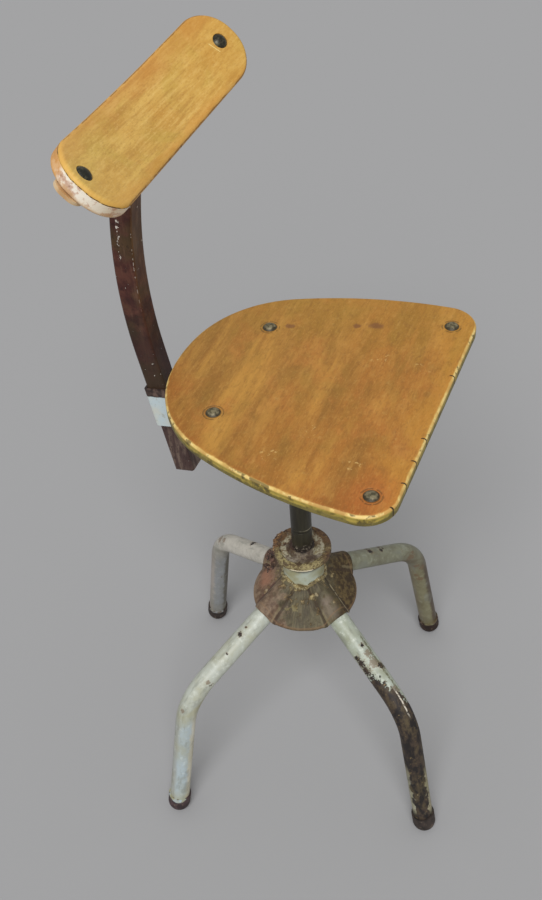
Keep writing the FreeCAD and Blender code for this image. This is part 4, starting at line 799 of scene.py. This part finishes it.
def padFinish():
    # pad frame: x across, y up the pad, z out of its face, from the pivot
    size = {
        "pivot": (0, 0.160083, 0.854114),
        "recline": 42.0,
        "bow": 0.5866,
        "face": 0.055,
        "ply": 0.0042,
        "rear": (0.0185, 0.0192),
        "scratch": (0.1268, 0.0068),
        "warmTop": (0.018, 0.036),
        "warmFoot": (-0.032, -0.024),
        "seam": (0.0014, 0.0003, 0.0005),
        "seamFrom": (-0.126, -0.116),
        "lower": (-0.0385, -0.0365),
        "knock": (0.0468, 0.0482),
        "knockRun": (0.0, 0.075, 0.02),
    }
    f = Finish("padWood")
    turn = (size["recline"], 0, 0)
    at = f.place(size["pivot"], turn)
    across, up, out = f.parts(at)
    depth = f.flat(across, out - size["face"] - size["bow"]) - size["bow"]
    wide = f.noise(f.place(size["pivot"], turn, (5.0, 1.0, 1.0)), 66.0, 5.0, 0.62, 0.5)
    thin = f.noise(f.place(size["pivot"], turn, (26.0, 1.0, 1.0)), 300.0, 4.0, 0.62)
    mottle = f.noise(f.place(size["pivot"], turn, (2.4, 1.0, 1.0)), 150.0, 4.0, 0.65)
    cloud = f.noise(at, 14.0, 3.0, 0.5, 0.6)
    ragged = f.noise(at, 90.0, 5.0, 0.62)
    base = f.mix(wide.rise(0.36, 0.64), (222, 180, 94), (204, 158, 76))
    broad = f.noise(f.place(size["pivot"], turn, (6.0, 1.0, 1.0)), 40.0, 4.0, 0.58, 0.4)
    base = f.wash(
        base,
        (broad.rise(0.48, 0.64) * 0.5, 192, 142, 62),
        (broad.fall(0.34, 0.48) * 0.5, 228, 188, 104),
        (cloud.rise(0.44, 0.62) * 0.4, 206, 150, 66),
        (cloud.fall(0.36, 0.48) * 0.5, 196, 164, 74),
        (mottle.rise(0.53, 0.66) * 0.2, 166, 118, 50),
        (mottle.fall(0.34, 0.46) * 0.3, 224, 184, 106),
        (thin.rise(0.5, 0.66) * 0.36, 172, 122, 56),
        (thin.fall(0.34, 0.48) * 0.36, 236, 198, 118),
    )
    pores = f.noise(f.place(size["pivot"], turn, (2.5, 1.0, 1.0)), 620.0, 3.0, 0.6)
    base = f.mix(pores.rise(0.54, 0.68) * 0.35, base, (160, 114, 54))
    base = f.mix(pores.fall(0.3, 0.44) * 0.3, base, (238, 202, 128))
    tint = up.shake(wide, 0.03).rise(*size["warmTop"])
    base = f.mix(tint * 0.42, base, (200, 130, 62))
    tint = up.shake(wide, 0.03).fall(*size["warmFoot"])
    base = f.wash(
        base,
        (tint * 0.45, 206, 142, 62),
        (across.rise(0.02, 0.16) * 0.35, 190, 140, 56),
        (across.fall(-0.16, -0.02) * 0.25, 240, 204, 112),
    )
    scratchAcross, scratchUp = size["scratch"]
    scratch = abs((across - scratchAcross) + (up - scratchUp) * 0.26).fall(0.0004, 0.0009)
    scratch = scratch * up.band(scratchUp, 0.0062, 0.001)
    base = f.mix(scratch * 0.8, base, (240, 208, 130))
    arris = depth.rise(0.0002, 0.0016)
    base = f.mix(arris * 0.5, base, (222, 172, 84))
    seam = depth.shake(ragged, 0.0018).band(*size["seam"])
    seam = seam * mottle.rise(0.38, 0.5) * across.rise(*size["seamFrom"])
    base = f.mix(seam * 0.7, base, (112, 72, 36))
    lower = up.shake(ragged, 0.008).fall(*size["lower"]) * mottle.rise(0.4, 0.52)
    base = f.mix(lower * 0.6, base, (120, 78, 38))
    # bottom edge knocked, so that the brown under the varnish shows
    knock = (ragged * 0.02 - up).rise(*size["knock"]) * across.band(*size["knockRun"])
    base = f.mix(knock, base, (116, 74, 44))
    ply = size["ply"]
    cream = f.mix(cloud.rise(0.42, 0.7), (252, 242, 224), (240, 222, 190))
    flaked = ragged * 0.55 + mottle * 0.45 + up * 1.4
    cream = f.wash(
        cream,
        (flaked.rise(0.47, 0.56) * 0.75, 196, 146, 116),
        (flaked.rise(0.57, 0.62) * 0.6, 140, 106, 84),
        (depth.shake(ragged, 0.012).rise(0.0125, 0.0165) * 0.7, 210, 170, 122),
        (up.shake(ragged, 0.014).rise(0.018, 0.027) * 0.8, 222, 160, 78),
    )
    uneven = depth.shake(ragged, 0.0030).shake(cloud, 0.0040)
    edge = uneven.rise(ply, ply + 0.0005)
    glue = uneven.band(ply - 0.0002, 0.0002, 0.0004) * (0.25 + 0.75 * mottle.rise(0.44, 0.54))
    base = f.mix(edge, base, cream)
    base = f.mix(glue * 0.9, base, (60, 42, 26))
    rear = depth.shake(ragged, 0.002).rise(*size["rear"])
    behind = f.mix(mottle.rise(0.4, 0.6), (172, 132, 78), (142, 102, 58))
    base = f.mix(rear * 0.8, base, behind)
    height = thin * 0.18 + wide * 0.2 + mottle * 0.3 - glue * 0.9 - knock * 0.9 - scratch * 0.4
    return f.done(
        Base_Color=base,
        Roughness=0.4 + mottle * 0.18,
        Normal=f.bump(height + edge * ragged * 0.7, 0.0006),
        Specular_IOR_Level=0.3,
    )


def padBoltFinish():
    f = Finish("boltBlack")
    at = f.place()
    ragged = f.noise(at, 210.0, 4.0, 0.62)
    cloud = f.noise(at, 60.0, 2.0)
    base = f.mix(ragged.rise(0.45, 0.66), (38, 38, 30), (78, 76, 58))
    base = f.mix(cloud.rise(0.5, 0.7) * 0.5, base, (92, 74, 48))
    return f.done(
        Base_Color=base, Metallic=0.35, Roughness=0.24 + ragged * 0.22, Normal=f.bump(ragged, 0.0003)
    )


def seatBoltFinish():
    f = Finish("boltWorn")
    at = f.place()
    across, along = f.parts(at)[:2]
    ragged = f.noise(at, 240.0, 4.0, 0.62)
    front, rear = (f.flat(abs(across) - aside, along - back) for aside, back in seatBolts)
    gap = front.orLess(rear).shake(ragged, 0.003)
    base = f.mix(ragged.rise(0.4, 0.6), (134, 124, 96), (82, 76, 54))
    # painted shade: the head's outer edge darkened where it sinks into the seat
    base = f.mix(gap.rise(0.0052, 0.0072) * 0.8, base, (48, 41, 28))
    return f.done(
        Base_Color=base, Metallic=0.3, Roughness=0.38 + ragged * 0.2, Normal=f.bump(ragged, 0.0005)
    )


def fixingFinish():
    f = Finish("fixingSteel")
    at = f.place()
    ragged = f.noise(at, 170.0, 5.0, 0.62)
    rusted = ragged.rise(0.5, 0.62)
    base = f.mix(rusted, (150, 148, 142), rustBrown)
    return f.done(
        Base_Color=base,
        Metallic=0.85 - rusted * 0.7,
        Roughness=0.36 + rusted * 0.34,
        Normal=f.bump(ragged, 0.0005),
    )


def bushFinish():
    f = Finish("bushMetal")
    at = f.place()
    ragged = f.noise(at, 120.0, 4.0)
    base = f.mix(ragged.rise(0.4, 0.65), (150, 124, 74), (66, 52, 38))
    return f.done(Base_Color=base, Metallic=0.6, Roughness=0.4 + ragged * 0.2, Normal=f.bump(ragged, 0.0004))


def frameFinish():
    f = Finish("framePaint")
    at = f.place()
    cloud = f.noise(at, 24.0, 3.0)
    mottle = f.noise(at, 140.0, 4.0, 0.65)
    chips = wear(f, at, 8.0)
    bare = chips.rise(0.655, 0.668)
    edge = chips.rise(0.615, 0.655) - bare
    paint = f.mix(cloud.rise(0.4, 0.7), (190, 198, 186), (162, 162, 142))
    paint = f.mix(mottle.rise(0.54, 0.68) * 0.5, paint, (126, 118, 94))
    base = f.mix(edge * 0.6, paint, (158, 124, 84))
    base = f.mix(bare, base, f.mix(mottle.rise(0.45, 0.6), (60, 46, 38), rustBrown))
    return f.done(
        Base_Color=base,
        Roughness=0.38 + bare * 0.3,
        Normal=f.bump((1.0 - bare) + cloud * 0.2 + mottle * 0.2, 0.0006),
        Specular_IOR_Level=0.4,
    )


def strapFinish():
    f = Finish("strapPaint")
    at = f.place()
    cloud = f.noise(at, 40.0, 3.0)
    mottle = f.noise(at, 150.0, 4.0, 0.65)
    paint = f.mix(cloud.rise(0.4, 0.62), (226, 198, 156), (196, 156, 108))
    bare = wear(f, at, 11.0).rise(0.58, 0.6)
    base = f.mix(bare, paint, f.mix(mottle.rise(0.42, 0.6), (116, 80, 54), (78, 54, 40)))
    return f.done(
        Base_Color=base,
        Roughness=0.42 + bare * 0.3,
        Normal=f.bump((1.0 - bare) + mottle * 0.4, 0.0006),
        Specular_IOR_Level=0.35,
    )


def dress(names, material):
    for name in names:
        for slot in nodes[name].material_slots:
            slot.material = material


for name, size in legs.items():
    dress([name], legFinish(name + ".paint", size))
    dress([name.replace("leg", "ferrule")], ferruleFinish(name + ".foot", size))
dress(["hub_tube"], neckFinish())
dress(["height_collar"], collarFinish())
dress(["pillar"], pillarFinish())
dress(["post_sleeve"], sleeveFinish())
dress(["back_post"], postFinish())
dress(["seat_board"], seatFinish())
dress(["backrest_pad"], padFinish())
dress(["seat_bolts"], seatBoltFinish())
dress(["pad_bolts"], padBoltFinish())
dress(["upper_bush", "lower_bush"], bushFinish())
dress(["seat_spider", "pillar_socket", "rear_arm", "pivot_bracket"], frameFinish())
dress(["backrest_strap"], strapFinish())
dress(
    [
        "collar_screw",
        "stop_washer",
        "stop_bolt",
        "socket_bolt",
        "socket_nut",
        "clamp_nut",
        "clamp_screw",
        "seat_nuts",
        "pivot_bolt",
        "pivot_nut",
        "pad_nuts",
    ],
    fixingFinish(),
)
print("finishes given to the frame's nodes")


def addPiece(name, mesh, body, material):
    made = bpy.data.meshes.new(name)
    mesh.to_mesh(made)
    mesh.free()
    for face in made.polygons:
        face.use_smooth = True
    made.materials.append(material)
    piece = bpy.data.objects.new(name, made)
    bpy.context.scene.collection.objects.link(piece)
    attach(piece, body)
    return piece


def weldFinish():
    f = Finish("weldRust")
    at = f.place()
    ragged = f.noise(at, 160.0, 5.0, 0.65)
    grit = f.noise(at, 520.0, 2.0)
    base = f.mix(ragged.rise(0.4, 0.6), (150, 134, 90), (98, 84, 56))
    base = f.mix(grit.rise(0.54, 0.64) * 0.7, base, (200, 192, 156))
    return f.done(Base_Color=base, Roughness=0.7, Normal=f.bump(ragged + grit * 0.4, 0.0012))


cover = {
    "neck": 0.0256,
    "rim": 0.0650,
    "top": 0.3005,
    "fall": 0.0305,
    "lip": 0.0034,
    "sheet": 0.002,
    "channel": 0.0150,
    "draft": 58.0,
    "tongue": 0.0066,
    "blend": 0.0045,
    "dents": 0.0007,
    "around": 560,
    "rings": 44,
    "legEntry": tube["top"],
    "legSlope": 27.9,
    "spread": 1.4,
    "lipOut": 0.0008,
    "lipEase": 0.6,
    "grain": (70, 190),
    "fineBy": 0.4,
    "ease": 0.4,
    "creaseFrom": 0.03,
    "creaseWide": 0.0011,
    # the leg by its number, the side of it, how far beside it, and the fold's height
    "creases": (
        (2, -1, 0.0150, 0.0011),
        (2, 1, 0.0142, -0.0008),
        (1, 1, 0.0148, -0.0009),
        (1, -1, 0.0150, 0.0006),
    ),
}
spokes = [heading(leg["turn"]) for leg in legs.values()]


def higher(first, second, blend):  # the greater of two heights, run into each other
    near = max(blend - abs(first - second), 0) / blend
    return max(first, second) + near * near * blend / 4


def overLeg(flat):  # how far a place on the plan lies along and beside its nearest leg
    spoke = max(spokes, key=flat.dot)
    return flat.dot(spoke), abs(flat.dot(spoke.orthogonal()))


def coverHeight(flat):
    along, beside = overLeg(flat)
    slope, draft = math.radians(cover["legSlope"]), math.radians(cover["draft"])
    cone = cover["top"] - (flat.length - cover["neck"]) * cover["fall"] / (cover["rim"] - cover["neck"])
    arc = min(beside, cover["channel"] * math.sin(draft))  # past it the channel's side runs straight
    crown = math.sqrt(cover["channel"] ** 2 - arc**2) - (beside - arc) * math.tan(draft)
    channel = cover["legEntry"] - along * math.tan(slope) + crown / math.cos(slope)
    return higher(cone, channel, cover["blend"])


def spinRound(mesh, steps):  # a full turn about the pillar
    bmesh.ops.spin(
        mesh,
        geom=mesh.verts[:] + mesh.edges[:],
        cent=(0, 0, 0),
        axis=(0, 0, 1),
        angle=math.tau,
        steps=steps,
        use_merge=True,
    )
    bmesh.ops.remove_doubles(mesh, verts=mesh.verts, dist=1e-6)


def hubCover():
    sheet = bmesh.new()
    ends = [sheet.verts.new((reach, 0, 0)) for reach in (cover["neck"], cover["rim"] + cover["lip"])]
    line = sheet.edges.new(ends)
    bmesh.ops.subdivide_edges(sheet, edges=[line], cuts=cover["rings"])
    spinRound(sheet, cover["around"])
    coarse, fine = cover["grain"]
    for vert in sheet.verts:
        reach = vert.co.xy.length
        way = vert.co.xy / reach
        beside = overLeg(way * cover["rim"])[1] / cover["channel"] / cover["spread"]
        share = max(1 - beside * beside, 0)  # 1 over a leg, 0 on the cone
        stretch = 1 + cover["tongue"] * share / (cover["rim"] - cover["neck"])
        over = max(reach - cover["rim"], 0)
        inside = (reach - over - cover["neck"]) * stretch
        flat = way * (cover["neck"] + inside + min(over, cover["lipOut"]))
        height = coverHeight(flat) - over * (1 - cover["lipEase"] * share)
        vert.co = (flat.x, flat.y, height)
        dent = noise.noise(vert.co * coarse) + noise.noise(vert.co * fine) * cover["fineBy"]
        vert.co.z += dent * cover["dents"]
        for leg, hand, offset, tall in cover["creases"]:  # folds along the sides of two channels
            along, beside = flat.dot(spokes[leg]), flat.dot(spokes[leg].orthogonal()) * hand
            if along > cover["creaseFrom"]:
                vert.co.z += tall * math.exp(-(((beside - offset) / cover["creaseWide"]) ** 2))
    every = {"use_axis_x": True, "use_axis_y": True, "use_axis_z": True}
    bmesh.ops.smooth_vert(sheet, verts=sheet.verts, factor=cover["ease"], **every)
    bmesh.ops.recalc_face_normals(sheet, faces=sheet.faces)
    return sheet


def weldBead(size, level):  # a rippled ring, lifted to the level of what it lies on
    sides, ripples = 12, 170
    bead = bmesh.new()
    bmesh.ops.create_circle(bead, segments=sides, radius=size["bead"])
    bmesh.ops.rotate(bead, verts=bead.verts, matrix=Matrix.Rotation(math.pi / 2, 3, "X"))
    bmesh.ops.translate(bead, verts=bead.verts, vec=(size["ring"], 0, 0))
    spinRound(bead, size["steps"])
    bmesh.ops.recalc_face_normals(bead, faces=bead.faces)
    for vert in bead.verts:
        core = (vert.co.xy.normalized() * size["ring"]).to_3d()
        vert.co += (vert.co - core).normalized() * noise.noise(vert.co * ripples) * size["ripple"]
        vert.co.z += level(core.xy)
    return bead


def neckWeld():
    size = {"ring": 0.0262, "bead": 0.0024, "ripple": 0.0020, "steps": 160}
    return weldBead(size, coverHeight)


def socketWeld():  # where the pillar's socket meets the arms under the seat
    low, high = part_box("pillar_socket")
    size = {"ring": (high[0] - low[0]) / 2 + 0.0004, "bead": 0.0021, "ripple": 0.0012, "steps": 140}
    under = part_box("seat_spider")[0][2]
    return weldBead(size, lambda flat: under)


def crust(lumps, seed):  # flattened lumps, roughened by a coarse and a fine noise
    size = {"flat": (1.25, 1.25, 0.7), "coarse": 210, "fine": 620, "coarseBy": 0.5, "fineBy": 0.25}
    made = bmesh.new()
    for place, wide in lumps:
        part = bmesh.ops.create_icosphere(made, subdivisions=4, radius=wide)["verts"]
        bmesh.ops.scale(made, verts=part, vec=size["flat"])
        for vert in part:
            coarse = noise.noise((vert.co + place) * size["coarse"] + Vector((seed, 0, 0)))
            fine = noise.noise((vert.co + place) * size["fine"])
            vert.co *= 1 + size["coarseBy"] * coarse + size["fineBy"] * fine
        bmesh.ops.translate(made, verts=part, vec=place)
    return made


def channelCrust():
    # across and along the floor, and half the width of each lump
    size = {
        "lumps": (
            (0.0215, 0.0560, 0.0042),
            (0.0275, 0.0585, 0.0034),
            (0.0160, 0.0500, 0.0046),
            (0.0100, 0.0520, 0.0036),
            (0.0065, 0.0455, 0.0034),
            (0.0240, 0.0505, 0.0036),
            (0.0140, 0.0575, 0.0030),
            (0.0030, 0.0500, 0.0024),
        ),
        "sunk": 0.3,
        "seed": 3.0,
    }
    lumps = []
    for *flat, wide in size["lumps"]:
        height = coverHeight(Vector(flat)) - wide * size["sunk"]
        lumps.append((Vector((*flat, height)), wide))
    return crust(lumps, size["seed"])


def collarCrust():
    # turn round the pillar, and half the width of each lump
    size = {
        "reach": 0.0338,
        "level": 0.3480,
        "lumps": (
            (58, 0.0024),
            (68, 0.0032),
            (77, 0.0030),
            (88, 0.0034),
            (98, 0.0030),
            (108, 0.0028),
            (118, 0.0022),
        ),
        "seed": 9.0,
    }
    lumps = []
    for turn, wide in size["lumps"]:
        lumps.append((Vector((*heading(turn) * size["reach"], size["level"])), wide))
    return crust(lumps, size["seed"])


def crustFinish(name, dark, light):
    f = Finish(name)
    at = f.place()
    ragged = f.noise(at, 190.0, 5.0, 0.65)
    grit = f.noise(at, 480.0, 3.0, 0.6)
    base = f.mix(ragged.rise(0.4, 0.6), dark, light)
    # pale flecks: painted highlights on the lumps
    base = f.mix(grit.rise(0.6, 0.68) * 0.8, base, (206, 184, 150))
    return f.done(Base_Color=base, Roughness=0.62, Normal=f.bump(ragged + grit * 0.5, 0.0014))


pressed = addPiece("hubCover", hubCover(), "base", coverFinish())
wall = pressed.modifiers.new("sheet", "SOLIDIFY")
wall.thickness = cover["sheet"]
wall.offset = -1.0
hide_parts("hub_cover")
addPiece("neckWeld", neckWeld(), "base", weldFinish())
channelRust = crustFinish("channelRust", (46, 31, 28), (104, 74, 60))
addPiece("channelCrust", channelCrust(), "base", channelRust)
collarRust = crustFinish("collarRust", (82, 56, 36), (138, 100, 60))
addPiece("collarCrust", collarCrust(), "collar", collarRust)
framePaint = nodes["seat_spider"].material_slots[0].material
addPiece("socketWeld", socketWeld(), "seat_unit", framePaint)
print("pieces added")


def stage():
    size = {"floor": 9.0, "level": -0.0005, "grey": (163, 163, 164)}
    ground = bmesh.new()
    bmesh.ops.create_grid(ground, x_segments=1, y_segments=1, size=size["floor"])
    bmesh.ops.translate(ground, verts=ground.verts, vec=(0, 0, size["level"]))
    made = bpy.data.meshes.new("floor")
    ground.to_mesh(made)
    ground.free()
    plain = Finish("floorPlain")
    plain.done(Base_Color=colour(*size["grey"]), Roughness=1.0, Specular_IOR_Level=0.0)
    made.materials.append(plain.material)
    floor = bpy.data.objects.new("floor", made)
    bpy.context.scene.collection.objects.link(floor)


def lights():
    size = {"around": 0.44, "key": 2.33, "soft": 36, "from": (-1.0, -0.3, 1.2)}
    world = bpy.data.worlds.new("studio")
    world.use_nodes = True
    sky = world.node_tree.nodes["Background"]
    sky.inputs["Color"].default_value = (1, 1, 1, 1)
    sky.inputs["Strength"].default_value = size["around"]
    bpy.context.scene.world = world
    lamp = bpy.data.lights.new("softKey", "SUN")
    lamp.energy = size["key"]
    lamp.angle = math.radians(size["soft"])
    key = bpy.data.objects.new("softKey", lamp)
    key.rotation_euler = Vector(size["from"]).to_track_quat("Z", "Y").to_euler()
    bpy.context.scene.collection.objects.link(key)


def camera():
    size = {
        "at": (-0.8489, -0.3710, 1.3647),
        "turn": -64.6,
        "rise": 42.6,
        "roll": -4.6,
        "lens": 44.616,
        "sensor": 36.0,
    }
    turn, rise, roll = (math.radians(size[key]) for key in ("turn", "rise", "roll"))
    back = Vector((math.sin(turn) * math.cos(rise), -math.cos(turn) * math.cos(rise), math.sin(rise)))
    right = Vector((0, 0, 1)).cross(back).normalized()
    top = back.cross(right)
    tilted = right * math.cos(roll) + top * math.sin(roll)
    made = bpy.data.cameras.new("view")
    made.lens = size["lens"]
    made.sensor_width = size["sensor"]
    eye = bpy.data.objects.new("view", made)
    axes = Matrix((tilted, back.cross(tilted), back)).transposed().to_4x4()
    eye.matrix_world = Matrix.Translation(size["at"]) @ axes
    bpy.context.scene.collection.objects.link(eye)
    bpy.context.scene.camera = eye


stage()
lights()
camera()
bpy.context.scene.view_settings.view_transform = "Standard"
print("stage, light and camera set")
